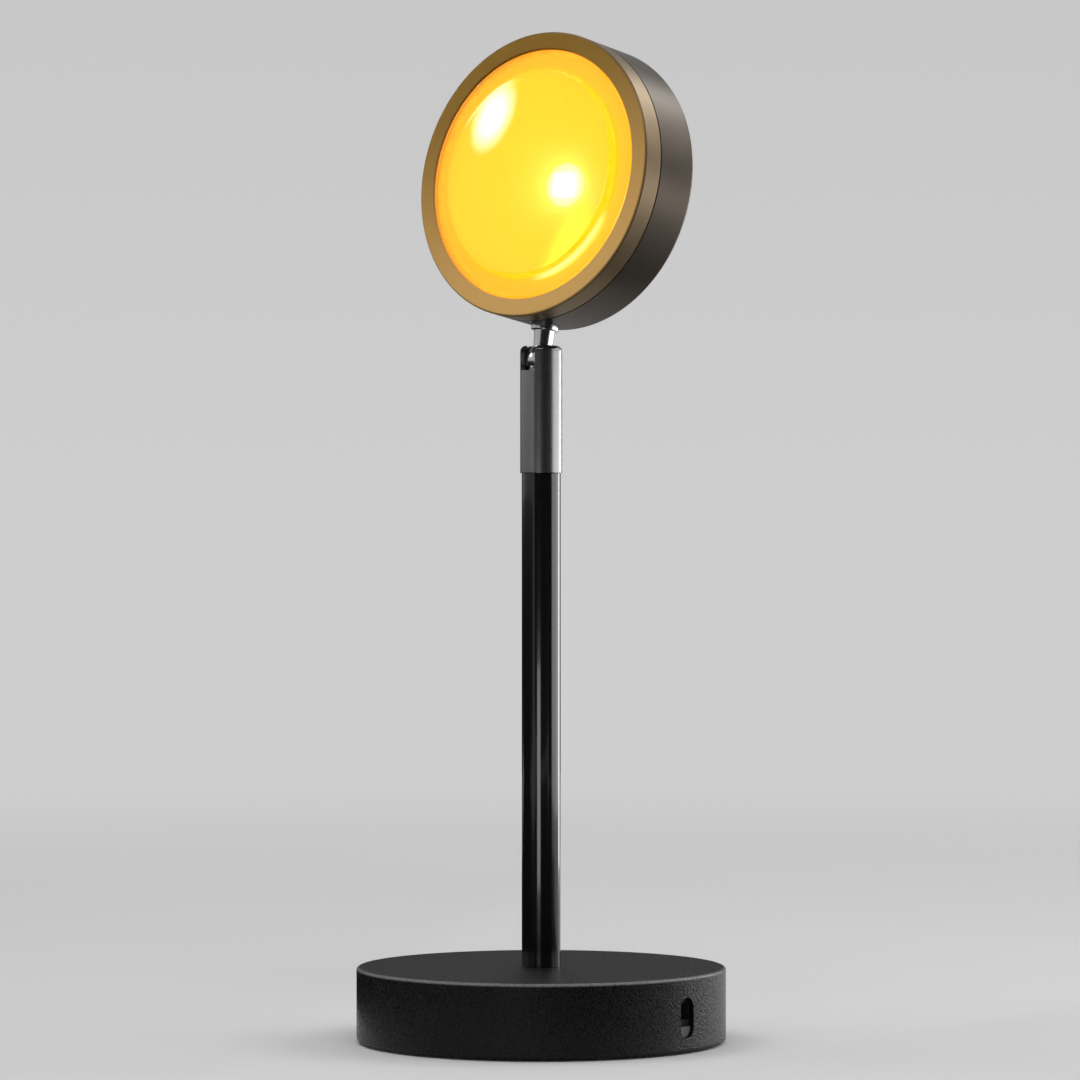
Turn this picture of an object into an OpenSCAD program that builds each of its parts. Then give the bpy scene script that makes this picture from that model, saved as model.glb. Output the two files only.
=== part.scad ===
// Sunset projection lamp: a round weighted base, a straight post, a slotted ball joint
// and a flat round head that throws amber light through a domed lens.
// Millimetres, +Z up, origin at the middle of the foot pad's underside.
// The head looks towards -Y, the slide switch is on +X and the power inlet on +Y.

/* [Base] */
// Diameter of the round base
base_d = 95; // [90:1:110]
// Height of the base cover's top over the table
base_h = 19.3; // [18.6:0.1:22]
// Wall of the cover round its side
side_wall = 1.2; // [1:0.1:1.5]
// Wall of the cover at its top
top_wall = 1.4; // [1:0.1:2]
// Rounding of the cover's top edge
top_round = 0.7; // [0.3:0.1:1]
// Rounding of the cover's lower edge
rim_round = 0.8; // [0.3:0.1:0.9]
// How far the cover's lower edge stays off the table
rim_lift = 0.6; // [0.3:0.1:1]

/* [Foot and ballast] */
// Thickness of the foot pad
pad_t = 1.2; // [1:0.1:1.6]
// How far the pad's edge lies inside the base's edge
pad_inset = 4.5; // [3:0.5:8]
// Thickness of the bottom plate
plate_t = 1.2; // [1:0.1:1.6]
// Clear height between the bottom plate and the ballast
board_space = 5.4; // [5.3:0.1:6.4]
// Distance from the cover's inner wall to the bottom screws
screw_inset = 10.3; // [9:0.1:12]
// Diameter of the bottom screws
foot_screw_d = 2.5; // [2:0.1:3]

/* [Boards in the base] */
// Thickness of the driver board
board_t = 1.2; // [0.8:0.1:1.4]
// Length of the ballast's standoffs over the driver board
standoff_h = 2.4; // [2:0.1:2.6]
// Width of the driver board
board_w = 38; // [34:1:40]
// Diameter of the small screws that hold the boards
small_screw_d = 2.2; // [1.8:0.1:2.4]
// Width of the power inlet's metal shell
inlet_w = 8.94; // [8.9:0.01:9]
// Height of the power inlet's metal shell
inlet_h = 3.16; // [3.1:0.01:3.3]
// How far the inlet's mouth lies inside the base's edge
inlet_recess = 0.4; // [0.3:0.1:0.6]

/* [Slide switch] */
// Height of the middle of the switch slot
switch_z = 9.1; // [8.9:0.1:9.6]
// Width of the switch slot
slot_w = 5.1; // [4.6:0.1:5.6]
// Height of the switch slot
slot_h = 10.2; // [9.6:0.1:10.8]
// How far the knob's face lies inside the base's edge
knob_recess = 0.9; // [0.8:0.1:1]
// Height of the knob that shows in the slot
knob_h = 2.65; // [2.4:0.05:3]
// Travel of the knob
knob_travel = 4; // [2:0.1:4.2]
// Thickness of the switch board
switch_board_t = 1.6; // [1.2:0.1:1.8]

/* [Post] */
// Diameter of the post
post_d = 10; // [9.4:0.1:11]
// Wall of the post's tube
post_wall = 0.8; // [0.6:0.1:1]
// Length of the post over the base
post_len = 126.9; // [90:0.1:180]
// Diameter of the threaded stud under the post
stud_d = 8; // [7:0.1:8.4]
// Width across the flats of the nut under the ballast
nut_af = 13; // [12:0.5:15]
// Height of the nut under the ballast
nut_h = 5; // [4:0.1:5.6]
// Diameter of the two-core lead
lead_d = 1.6; // [1:0.1:1.6]

/* [Ball joint] */
// Outer diameter of the ball sleeve
sleeve_d = 10.8; // [10.4:0.1:12]
// Length of the ball sleeve
sleeve_len = 32.8; // [31:0.1:40]
// Rounding of the sleeve's rim
sleeve_round = 1.5; // [0.8:0.1:1.5]
// How far the sleeve's rim stands over the ball's middle
rim_over = 3.8; // [3.4:0.1:4]
// Diameter of the ball
ball_d = 8; // [7.6:0.1:8.4]
// Length of the nylon seat under the ball
seat_len = 6.4; // [4:0.1:8]
// Height of the stack of spring washers
spring_h = 3.8; // [3:0.1:5]
// Thickness of the sleeve's inner web
web_t = 1.6; // [1.2:0.1:2.4]
// Height of the snap ring over the post's top
ring_up = 6; // [3:0.5:9]

/* [Neck] */
// Distance from the ball's middle to the head's rim
neck_len = 9.2; // [8.8:0.1:14]
// Diameter of the neck's cone at the ball
neck_low_d = 4.6; // [4.2:0.1:4.8]
// Diameter of the neck's cone under the collar
neck_high_d = 5.3; // [4.8:0.1:5.3]
// Diameter of the neck's collar
collar_d = 7; // [6.4:0.1:8]
// Thickness of the neck's collar
collar_t = 1.8; // [1.4:0.1:2]
// Diameter of the neck's shank inside the head
shank_d = 4; // [3.4:0.1:4.2]
// Bore for the lead through the neck
neck_bore_d = 2.4; // [2:0.1:2.6]
// How far the head leans back as it stands
lean = 8.7; // [0:0.1:13]
// How far the sleeve's slot stands turned from where the head looks
slot_turn = 8; // [0:1:30]

/* [Head] */
// Diameter of the head
head_d = 74.4; // [70:0.1:90]
// Depth of the front bezel
bezel_t = 6.5; // [6:0.1:8]
// Depth of the rear housing
housing_t = 14; // [14:0.1:18]
// Distance from the parting line back to the neck
neck_back = 6; // [5.8:0.1:7]
// Wall of the rear housing round its side
shell_wall = 1.6; // [1.2:0.1:2]
// Wall of the rear housing at its back
back_wall = 2; // [1.8:0.1:2.6]
// Bevel on the housing's back edge
back_bevel = 0.8; // [0.4:0.1:1.2]
// Bevel on the bezel's front edge
front_bevel = 0.8; // [0.4:0.1:1.2]
// Width of the bezel's flat face round the lens
face_w = 4.6; // [4:0.1:5]
// Thickness of the bezel's lip over the lens
lip_t = 0.8; // [0.6:0.1:1]

/* [Lens and light] */
// Thickness of the lens at its rim
lens_rim_t = 1.6; // [1.2:0.1:1.8]
// How far the lens's dome stands in front of the bezel
dome_out = 4.3; // [4:0.1:6]
// Radius of the raised middle of the lens
dome_r = 26.6; // [24:0.1:27.5]
// How far the dome's edge stands in front of the bezel
dome_edge_out = 1.4; // [1.2:0.1:2]
// Thickness of the gasket behind the lens
gasket_t = 0.7; // [0.5:0.1:0.9]
// Thickness of the colour filter
filter_t = 0.6; // [0.4:0.1:0.8]
// Thickness of the light tunnel's flange
flange_t = 0.8; // [0.6:0.1:1]
// Radius of the light tunnel at the emitter
tunnel_low_r = 5.2; // [4.8:0.1:5.6]
// Thickness of the heat spreader
spreader_t = 2.1; // [1.6:0.1:2.4]
// Thickness of the thermal pad
thermal_t = 0.5; // [0.3:0.1:0.8]
// Thickness of the emitter's board
led_board_t = 1.6; // [1:0.1:1.8]
// Radius of the emitter's board
led_board_r = 15; // [14.6:0.1:16]
// Radius of the circle the emitter board's screws lie on
led_screw_ring = 12.5; // [12.3:0.1:12.8]
// Width of the square emitter
led_w = 5; // [3:0.1:5.4]

/* [Hidden] */
$fn = 96;

// Clearances
slip = 0.05;          // a turning pin in its bore, on the radius
loose = 0.15;         // a screw or plug in its hole, on the radius
seat_gap = 0.05;      // the ball over its nylon seat
bore_gap = 0.1;       // the ball in the sleeve's bore
drop_in = 0.4;        // a part laid into a shell, on the radius
knob_gap = 0.25;      // the knob in its slot
slot_gap = 0.35;      // the neck in the sleeve's slot
air = 0.1;            // a lead beside a wall
thread_gap = 0.1;     // the bezel on the housing's tongue
past = 1;             // how far a cut runs past a face

// Base
base_r = base_d / 2;
cover_r = base_r - side_wall;
pad_r = base_r - pad_inset;
plate_r = cover_r - 0.2;
plate_top = pad_t + plate_t;
weight_r = cover_r - drop_in;
weight_z = plate_top + board_space;
weight_top = base_h - top_wall;
foot_screw_r = foot_screw_d / 2;
foot_ring = cover_r - screw_inset;
foot_angles = [45, 165, 285];
foot_boss_r = foot_screw_r + 3.2;
foot_screw_up = 5;
foot_head_r = foot_screw_r + 1.35;
foot_head_t = plate_t - 0.1;

// Driver board
board_top = weight_z - standoff_h;
board_z = board_top - board_t;
board_y0 = 7;
board_edge_r = cover_r - 0.8;
small_r = small_screw_d / 2;
small_boss_r = small_r + 1.5;
small_head_r = small_r + 1.1;
small_head_t = 1.1;
board_screw_x = board_w / 2 - 4;
board_screw_y = board_y0 + 6;
board_screw_up = 4;
coil_w = 7;
coil_h = 4;
coil_at = [-10, 26];
coil_room = 0.7;
coil_dish = 0.6;
coil_rim = 1.6;
chip_size = [5, 4, 1.5];
chip_at = [8, 25];

// Power inlet
inlet_len = 7.35;
inlet_skin = 0.3;
inlet_mouth = base_r - inlet_recess;
inlet_z = board_top + inlet_h / 2;
inlet_room = 0.27;
tongue_t = 0.7;
tongue_side = 1.1;
tongue_back = 1.2;

// Switch
knob_face = base_r - knob_recess;
knob_w = slot_w - 2 * knob_gap;
knob_z = switch_z - slot_h / 2 + knob_gap;
slider_front = cover_r - 0.4;
slider_len = 3.6;
slider_w = slot_w + 0.3;
slider_h = 4.6;
slider_z = knob_z - 0.25;
case_front = slider_front - 0.3;
case_back = case_front - 6.6;
case_w = slider_w + 3;
case_h = slot_h + 2.2;
case_z = switch_z - case_h / 2;
channel_gap = 0.3;
switch_back = case_back - switch_board_t;
switch_board_w = 19;
switch_screw_y = 6.9;
switch_screw_z = weight_z + 3.4;
switch_screw_in = 5;
pocket_w = switch_board_w + 1;
pocket_top = case_z + case_h + 0.6;

// Leads in the base
lead_r = lead_d / 2;
lead_z = plate_top + lead_r + air;
header = [6, 5, 1.7];
header_y = 11;
switch_lead_r = 0.7;
switch_lead_y = 8;
switch_plug = [4, 4, 1.9];
switch_plug_x = 8;
plug_inset = 0.2;

// Post
post_r = post_d / 2;
post_in = post_r - post_wall;
post_top = base_h + post_len;
stud_r = stud_d / 2;
stud_bore_r = 2;
plug_r = post_in - slip;
stud_plug_len = 14;
post_nut_z = weight_z - 0.5;
stud_end = post_nut_z - 0.7;
post_washer_t = 1.2;
post_washer_r = nut_af / 2 + 2.5;
sink_top = post_nut_z + nut_h + post_washer_t;
sink_r = post_washer_r + 1;

// Ball joint
ball_r = ball_d / 2;
ball_z = post_top + sleeve_len - rim_over;
sleeve_r = sleeve_d / 2;
sleeve_top = post_top + sleeve_len;
socket_r = ball_r + bore_gap;
mouth_r = ball_r - 0.25;
neck_low_r = neck_low_d / 2;
neck_slot_w = neck_low_d + 2 * slot_gap;
slot_floor = ball_z - neck_low_r - 0.3;
seat_top = slot_floor - 0.2;
seat_z = seat_top - seat_len;
web_top = seat_z - spring_h;
web_z = web_top - web_t;
web_bore_r = lead_r + 0.8;
journal_r = socket_r - slip;
journal_top = web_z - 0.4;
journal_plug_len = 12;
ring_z = post_top + ring_up;
ring_t = 0.8;
ring_in = journal_r - 0.55;
ring_out = socket_r + 0.3;
ring_gap_angle = 30;
washers = 4;
washer_t = 0.4;
washer_out = socket_r - 0.2;

// Neck, measured along its own line from the ball's middle
reach = neck_len + head_d / 2;
spot_depth = 0.3;
collar_top = neck_len + spot_depth;
collar_low = collar_top - collar_t;
shank_r = shank_d / 2;
boss_top = neck_len + 3.4;
boss_r = 4.2;
neck_washer_t = 0.6;
neck_washer_r = boss_r;
neck_nut_af = shank_d + 3;
neck_nut_h = 2.6;
shank_end = boss_top + neck_washer_t + neck_nut_h + 1;
neck_bore_r = neck_bore_d / 2;
mouth_flare = 6.4;
mouth_top = 1.4;
neck_lead_low = -2.6;

// Head, as radius and depth: depth 0 is the neck's line, minus is forwards
head_r = head_d / 2;
part_y = -neck_back;
front_y = part_y - bezel_t;
back_y = part_y + housing_t;
back_in = back_y - back_wall;
glass_r = head_r - face_w;
tongue_r = head_r - 1.7;
bezel_bore_r = tongue_r + thread_gap;
lens_r = bezel_bore_r - drop_in;
lens_front = front_y + lip_t;
lens_back = lens_front + lens_rim_t;
gasket_back = lens_back + gasket_t;
filter_back = gasket_back + filter_t;
ledge_y = filter_back + flange_t;
ledge_back = part_y + 1.2;
stack_r = tongue_r - 1.6;
stack_room = 0.3;
ledge_r = head_r - 5;
tunnel_lip = 1;
glass_fit = 0.2;
rim_front = front_y + 0.2;
dome_foot_r = dome_r + 0.7;
dome_edge = front_y - dome_edge_out;
dome_foot = dome_edge + 1;
dome_land = 0.2;
dome_rise = dome_out - dome_edge_out - dome_land;
dome_ball_r = (dome_r * dome_r + dome_rise * dome_rise) / (2 * dome_rise);
spreader_y = back_in - spreader_t;
thermal_y = spreader_y - thermal_t;
led_board_y = thermal_y - led_board_t;
led_h = 1;
led_dome_r = led_w / 2 - 0.8;
led_screw_in = 1.2;
spreader_r = led_board_r + 1;
tunnel_skin = 1.4;
head_lead_start = shank_end + 0.6;
head_lead_end = reach - led_board_r + 2.2;
head_lead_rise = led_board_y - lead_r - air;

// A part of the ball or the neck, in the frame of the leaning neck
module on_neck() {
    translate([0, 0, ball_z]) rotate([-lean, 0, -slot_turn]) children();
}

// A part that stands along the neck and is turned as the head is
module in_head() {
    on_neck() rotate([0, 0, slot_turn]) children();
}

// A part turned round the head's own line, drawn as radius and depth
module on_head() {
    in_head() translate([0, 0, reach]) rotate([-90, 0, 0]) children();
}

// The outside of a square corner beyond a round of radius r
module corner(r) {
    difference() {
        square(r + past);
        circle(r);
    }
}

// A ring between two radii and two heights
module ring(inner, outer, low, high) {
    translate([0, 0, low]) difference() {
        cylinder(r = outer, h = high - low);
        translate([0, 0, -past]) cylinder(r = inner, h = high - low + 2 * past);
    }
}

// A slot with round ends: w wide along x, h high along y, as a flat shape
module pill(w, h) {
    r = min(w, h) / 2;
    dx = (w - 2 * r) / 2;
    dy = (h - 2 * r) / 2;
    for (side = [-1, 1]) translate([side * dx, side * dy]) circle(r);
    if (dx > 0) square([2 * dx, h], center = true);
    if (dy > 0) square([w, 2 * dy], center = true);
}

// Lays a flat shape upright so that it runs out along +X, its own y as height
module towards_x() {
    rotate([90, 0, 90]) children();
}

// Lays a flat shape upright so that it runs out along +Y, its own y as height
module towards_y() {
    rotate([90, 0, 180]) children();
}

// Places at the bottom screws
module at_foot_screws() {
    for (a = foot_angles) rotate([0, 0, a]) translate([foot_ring, 0, 0]) children();
}

// Places at the driver board's screws
module at_board_screws() {
    for (side = [-1, 1]) translate([side * board_screw_x, board_screw_y, 0]) children();
}

// Places at the switch board's screws, turned to point out along +X
module at_switch_screws() {
    for (side = [-1, 1])
        translate([case_back, side * switch_screw_y, switch_screw_z]) rotate([0, 90, 0])
            children();
}

// ---- Base ----

module base_cover() {
    color([0.10, 0.10, 0.11]) difference() {
        rotate_extrude() difference() {
            translate([0, rim_lift]) square([base_r, base_h - rim_lift]);
            translate([base_r - top_round, base_h - top_round]) corner(top_round);
            translate([base_r - rim_round, rim_lift + rim_round]) mirror([0, 1])
                corner(rim_round);
            translate([-past, -past]) square([cover_r + past, weight_top + past]);
        }
        translate([0, 0, weight_top - past]) cylinder(r = stud_r + loose, h = 3 * past + top_wall);
        translate([cover_r - past, 0, switch_z]) towards_x()
            linear_extrude(side_wall + 2 * past) pill(slot_w, slot_h);
        translate([0, cover_r - past, inlet_z]) towards_y()
            linear_extrude(side_wall + 2 * past)
                pill(inlet_w + 2 * inlet_room, inlet_h + 2 * inlet_room);
    }
}

module base_weight() {
    color([0.32, 0.32, 0.34]) difference() {
        union() {
            translate([0, 0, weight_z]) cylinder(r = weight_r, h = weight_top - weight_z);
            at_foot_screws() translate([0, 0, plate_top])
                cylinder(r = foot_boss_r, h = board_space + past);
            at_board_screws() translate([0, 0, board_top])
                cylinder(r = small_boss_r, h = standoff_h + past);
        }
        cylinder(r = stud_r + 2 * loose, h = base_h + past);
        cylinder(r = sink_r, h = sink_top);
        at_foot_screws() cylinder(r = foot_screw_r + slip, h = weight_z + foot_screw_up + past);
        at_board_screws() cylinder(r = small_r + slip, h = weight_z + board_screw_up + past);
        translate([switch_back, -pocket_w / 2, 0]) cube([base_r, pocket_w, pocket_top]);
        at_switch_screws() translate([0, 0, -switch_board_t - switch_screw_in - past])
            cylinder(r = small_r + slip, h = switch_screw_in + 2 * past);
        translate([-inlet_w / 2 - past, inlet_mouth - inlet_len - past, 0])
            cube([inlet_w + 2 * past, base_r, board_top + inlet_h + past / 2]);
        translate([coil_at[0] - coil_w / 2 - coil_room, coil_at[1] - coil_w / 2 - coil_room, 0])
            cube([coil_w + 2 * coil_room, coil_w + 2 * coil_room, board_top + coil_h + coil_room]);
    }
}

module bottom_plate() {
    color([0.55, 0.55, 0.57]) difference() {
        translate([0, 0, pad_t]) cylinder(r = plate_r, h = plate_t);
        at_foot_screws() cylinder(r = foot_screw_r + loose, h = plate_top + past);
        at_foot_screws() translate([0, 0, pad_t - past])
            cylinder(r1 = foot_head_r + loose + past, r2 = foot_screw_r + loose,
                     h = foot_head_t + past);
    }
}

module bottom_screws() {
    color([0.75, 0.75, 0.77]) at_foot_screws() translate([0, 0, pad_t]) {
        cylinder(r1 = foot_head_r, r2 = foot_screw_r, h = foot_head_t);
        cylinder(r = foot_screw_r, h = plate_t + board_space + foot_screw_up);
    }
}

module foot_pad() {
    color([0.05, 0.05, 0.05]) cylinder(r = pad_r, h = pad_t);
}

module driver_board() {
    color([0.05, 0.30, 0.16]) translate([0, 0, board_z]) linear_extrude(board_t) difference() {
        intersection() {
            translate([-board_w / 2, board_y0]) square([board_w, base_r]);
            circle(board_edge_r);
        }
        at_board_screws() circle(small_r + loose);
    }
}

module driver_chip() {
    color([0.08, 0.08, 0.09]) translate([chip_at[0], chip_at[1], board_top + chip_size[2] / 2])
        cube(chip_size, center = true);
}

module driver_coil() {
    color([0.20, 0.20, 0.22]) translate([coil_at[0], coil_at[1], board_top]) difference() {
        translate([-coil_w / 2, -coil_w / 2, 0]) cube([coil_w, coil_w, coil_h]);
        translate([0, 0, coil_h - coil_dish]) cylinder(r = coil_w / 2 - coil_rim, h = past);
    }
}

module board_screws() {
    color([0.75, 0.75, 0.77]) at_board_screws() translate([0, 0, board_z]) {
        translate([0, 0, -small_head_t]) cylinder(r = small_head_r, h = small_head_t);
        cylinder(r = small_r, h = board_t + standoff_h + board_screw_up);
    }
}

module usb_shell() {
    color([0.78, 0.78, 0.80]) translate([0, inlet_mouth - inlet_len, inlet_z]) towards_y()
        difference() {
            linear_extrude(inlet_len) pill(inlet_w, inlet_h);
            translate([0, 0, past])
                linear_extrude(inlet_len) pill(inlet_w - 2 * inlet_skin, inlet_h - 2 * inlet_skin);
        }
}

module usb_tongue() {
    tongue_w = inlet_w - 2 * tongue_side;
    color([0.06, 0.06, 0.07]) translate([-tongue_w / 2, inlet_mouth - inlet_len + past,
                                         inlet_z - tongue_t / 2])
        cube([tongue_w, inlet_len - past - tongue_back, tongue_t]);
}

// ---- Slide switch ----

module switch_case() {
    color([0.07, 0.07, 0.08]) difference() {
        translate([case_back, -case_w / 2, case_z]) cube([case_front - case_back, case_w, case_h]);
        translate([slider_front - slider_len - channel_gap, -slider_w / 2 - channel_gap,
                   slider_z - channel_gap])
            cube([slider_len + past, slider_w + 2 * channel_gap,
                  slider_h + knob_travel + 2 * channel_gap]);
    }
}

module switch_board() {
    color([0.05, 0.30, 0.16]) difference() {
        translate([switch_back, -switch_board_w / 2, case_z])
            cube([switch_board_t, switch_board_w, case_h]);
        at_switch_screws() translate([0, 0, -switch_board_t - past])
            cylinder(r = small_r + loose, h = switch_board_t + 2 * past);
    }
}

module switch_board_screws() {
    color([0.75, 0.75, 0.77]) at_switch_screws() {
        cylinder(r = small_head_r, h = small_head_t);
        translate([0, 0, -switch_board_t - switch_screw_in])
            cylinder(r = small_r, h = switch_board_t + switch_screw_in);
    }
}

module switch_knob() {
    color([0.30, 0.30, 0.32]) union() {
        translate([slider_front - slider_len, -slider_w / 2, slider_z])
            cube([slider_len, slider_w, slider_h]);
        translate([slider_front - past, 0, knob_z]) towards_x()
            linear_extrude(knob_face - slider_front + past) intersection() {
                translate([0, knob_w / 2]) union() {
                    circle(knob_w / 2);
                    translate([-knob_w / 2, 0]) square([knob_w, knob_h]);
                }
                translate([-knob_w, 0]) square([2 * knob_w, knob_h]);
            }
    }
}

module switch_lead() {
    lead_len = switch_back - switch_plug_x - switch_plug[0];
    color([0.75, 0.10, 0.08])
        translate([switch_back - lead_len, switch_lead_y, board_top + switch_lead_r + air])
            rotate([0, 90, 0]) cylinder(r = switch_lead_r, h = lead_len);
}

module lead_plugs() {
    color([0.90, 0.88, 0.80]) union() {
        translate([-header[0] / 2, header_y, board_z - header[2]]) cube(header);
        translate([switch_plug_x, board_y0 + plug_inset, board_top]) cube(switch_plug);
    }
}

// ---- Post ----

module post_tube() {
    color([0.03, 0.03, 0.035]) ring(post_in, post_r, base_h, post_top);
}

module post_stud() {
    color([0.62, 0.60, 0.55]) difference() {
        union() {
            translate([0, 0, stud_end]) cylinder(r = stud_r, h = base_h - stud_end);
            translate([0, 0, base_h]) cylinder(r = plug_r, h = stud_plug_len);
        }
        cylinder(r = stud_bore_r, h = base_h + stud_plug_len + past);
    }
}

module post_washer() {
    color([0.70, 0.70, 0.72])
        ring(stud_r + loose, post_washer_r, sink_top - post_washer_t, sink_top);
}

module post_nut() {
    color([0.66, 0.66, 0.68]) translate([0, 0, post_nut_z]) difference() {
        cylinder(d = nut_af / cos(30), h = nut_h, $fn = 6);
        translate([0, 0, -past]) cylinder(r = stud_r + slip, h = nut_h + 2 * past);
    }
}

module post_journal() {
    color([0.72, 0.66, 0.45]) difference() {
        union() {
            translate([0, 0, post_top - journal_plug_len])
                cylinder(r = plug_r, h = journal_plug_len);
            translate([0, 0, post_top]) cylinder(r = journal_r, h = journal_top - post_top);
        }
        translate([0, 0, post_top - journal_plug_len - past])
            cylinder(r = stud_bore_r, h = base_h + journal_top);
        ring(ring_in - slip, journal_r + past, ring_z - slip, ring_z + ring_t + slip);
    }
}

module post_lead() {
    bend = stud_end - lead_z;
    color([0.85, 0.85, 0.83]) union() {
        translate([0, 0, stud_end])
            cylinder(r = lead_r, h = ball_z - ball_r - 2 * air - stud_end);
        translate([0, bend, stud_end]) rotate([0, 90, 0]) rotate([0, 0, -90])
            rotate_extrude(angle = 90) translate([bend, 0]) circle(lead_r);
        translate([0, bend, lead_z]) rotate([-90, 0, 0]) cylinder(r = lead_r, h = header_y - bend);
    }
}

// ---- Ball joint ----

module ball_sleeve() {
    color([0.42, 0.41, 0.42]) difference() {
        rotate_extrude() difference() {
            translate([0, post_top]) square([sleeve_r, sleeve_len]);
            translate([sleeve_r - sleeve_round, sleeve_top - sleeve_round])
                corner(sleeve_round);
        }
        translate([0, 0, post_top - past]) cylinder(r = socket_r, h = web_z - post_top + past);
        cylinder(r = web_bore_r, h = ball_z);
        translate([0, 0, web_top]) cylinder(r = socket_r, h = ball_z - web_top);
        translate([0, 0, ball_z]) sphere(r = socket_r);
        translate([0, 0, ball_z]) cylinder(r = mouth_r, h = rim_over + past);
        rotate([0, 0, -slot_turn]) translate([-neck_slot_w / 2, -sleeve_r - past, slot_floor])
            cube([neck_slot_w, sleeve_r + past, sleeve_len]);
        ring(journal_r - past, ring_out + slip, ring_z - slip, ring_z + ring_t + slip);
    }
}

module snap_ring() {
    color([0.60, 0.60, 0.62]) rotate([0, 0, ring_gap_angle / 2])
        rotate_extrude(angle = 360 - ring_gap_angle)
            translate([ring_in, ring_z]) square([ring_out - ring_in, ring_t]);
}

module ball_seat() {
    color([0.92, 0.91, 0.88]) difference() {
        translate([0, 0, seat_z]) cylinder(r = socket_r - slip, h = seat_len);
        translate([0, 0, ball_z]) sphere(r = ball_r + seat_gap);
        cylinder(r = web_bore_r, h = ball_z);
    }
}

module spring_washers() {
    pitch = spring_h / washers;
    hair = 0.02;
    color([0.45, 0.46, 0.50]) for (k = [0 : washers - 1])
        translate([0, 0, web_top + (k + k % 2) * pitch]) mirror([0, 0, k % 2]) rotate_extrude()
            polygon([[web_bore_r + air, pitch - washer_t - hair], [washer_out, hair],
                     [washer_out, washer_t + hair], [web_bore_r + air, pitch - hair]]);
}

module ball_stem() {
    color([0.85, 0.85, 0.87]) on_neck() difference() {
        union() {
            sphere(r = ball_r);
            translate([0, 0, ball_r / 2])
                cylinder(r1 = neck_low_r, r2 = neck_high_d / 2, h = collar_low - ball_r / 2);
            translate([0, 0, collar_low]) cylinder(r = shank_r, h = shank_end - collar_low);
        }
        translate([0, 0, -ball_d]) cylinder(r = neck_bore_r, h = ball_d + shank_end + past);
        translate([0, 0, -ball_d])
            cylinder(r1 = neck_bore_r + mouth_flare, r2 = neck_bore_r, h = ball_d - mouth_top);
    }
}

module neck_collar() {
    color([0.85, 0.85, 0.87]) on_neck() ring(shank_r + slip, collar_d / 2, collar_low, collar_top);
}

module neck_washer() {
    color([0.80, 0.80, 0.82]) on_neck()
        ring(shank_r + slip, neck_washer_r, boss_top, boss_top + neck_washer_t);
}

module neck_nut() {
    color([0.70, 0.70, 0.72]) on_neck()
        translate([0, 0, boss_top + neck_washer_t]) difference() {
            cylinder(d = neck_nut_af / cos(30), h = neck_nut_h, $fn = 6);
            translate([0, 0, -past]) cylinder(r = shank_r + slip, h = neck_nut_h + 2 * past);
        }
}

module neck_lead() {
    color([0.85, 0.85, 0.83]) on_neck() translate([0, 0, neck_lead_low])
        cylinder(r = lead_r, h = shank_end + air - neck_lead_low);
}

// ---- Head ----

module head_housing() {
    color([0.20, 0.19, 0.19]) difference() {
        union() {
            on_head() rotate_extrude()
                polygon([[0, back_y], [head_r - back_bevel, back_y], [head_r, back_y - back_bevel],
                         [head_r, part_y], [tongue_r, part_y], [tongue_r, gasket_back],
                         [stack_r + stack_room, gasket_back], [stack_r + stack_room, ledge_y],
                         [ledge_r, ledge_y], [ledge_r, ledge_back],
                         [head_r - shell_wall, ledge_back], [head_r - shell_wall, back_in],
                         [0, back_in]]);
            on_neck() translate([0, 0, collar_top]) cylinder(r = boss_r, h = boss_top - collar_top);
        }
        on_neck() translate([0, 0, neck_len - past])
            cylinder(r = collar_d / 2 + loose, h = spot_depth + past);
        on_neck() cylinder(r = shank_r + slip, h = boss_top + past);
        led_screw_places() translate([0, 0, thermal_y])
            cylinder(r = small_r + slip, h = back_in + led_screw_in + slip - thermal_y);
    }
}

module front_bezel() {
    color([0.26, 0.24, 0.23]) on_head() rotate_extrude()
        polygon([[glass_r, front_y], [head_r - front_bevel, front_y],
                 [head_r, front_y + front_bevel], [head_r, part_y], [bezel_bore_r, part_y],
                 [bezel_bore_r, lens_front], [glass_r, lens_front]]);
}

module lens() {
    dome_y = front_y - dome_out;
    color([1.0, 0.70, 0.12, 0.75]) on_head() rotate_extrude() intersection() {
        polygon([[0, lens_back], [lens_r, lens_back], [lens_r, lens_front],
                 [glass_r - glass_fit, lens_front], [glass_r - glass_fit, rim_front],
                 [dome_foot_r, dome_foot], [dome_r, dome_edge], [dome_r, dome_y], [0, dome_y]]);
        union() {
            translate([0, dome_y + dome_ball_r]) circle(dome_ball_r, $fn = 360);
            translate([0, dome_edge]) square([lens_r + past, lens_back - dome_edge + past]);
        }
    }
}

module lens_gasket() {
    color([0.12, 0.12, 0.12]) on_head()
        ring(glass_r + glass_fit, lens_r, lens_back, gasket_back);
}

module colour_filter() {
    color([0.95, 0.45, 0.10, 0.6]) on_head() translate([0, 0, gasket_back])
        cylinder(r = stack_r, h = filter_t);
}

module light_tunnel() {
    tunnel_r = ledge_r - tunnel_lip;
    color([0.88, 0.87, 0.84]) on_head() rotate_extrude()
        polygon([[tunnel_r, filter_back], [stack_r, filter_back], [stack_r, ledge_y],
                 [tunnel_r + tunnel_lip / 2, ledge_y], [tunnel_low_r + tunnel_skin, led_board_y],
                 [tunnel_low_r, led_board_y]]);
}

// Places at the emitter board's screws, along the head's own line
module led_screw_places() {
    on_head() for (side = [0, 180]) rotate([0, 0, side]) translate([led_screw_ring, 0, 0])
        children();
}

module heat_spreader() {
    color([0.75, 0.76, 0.78]) difference() {
        on_head() translate([0, 0, spreader_y]) cylinder(r = spreader_r, h = spreader_t);
        led_screw_places() translate([0, 0, spreader_y - past])
            cylinder(r = small_r + slip, h = spreader_t + 2 * past);
    }
}

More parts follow.
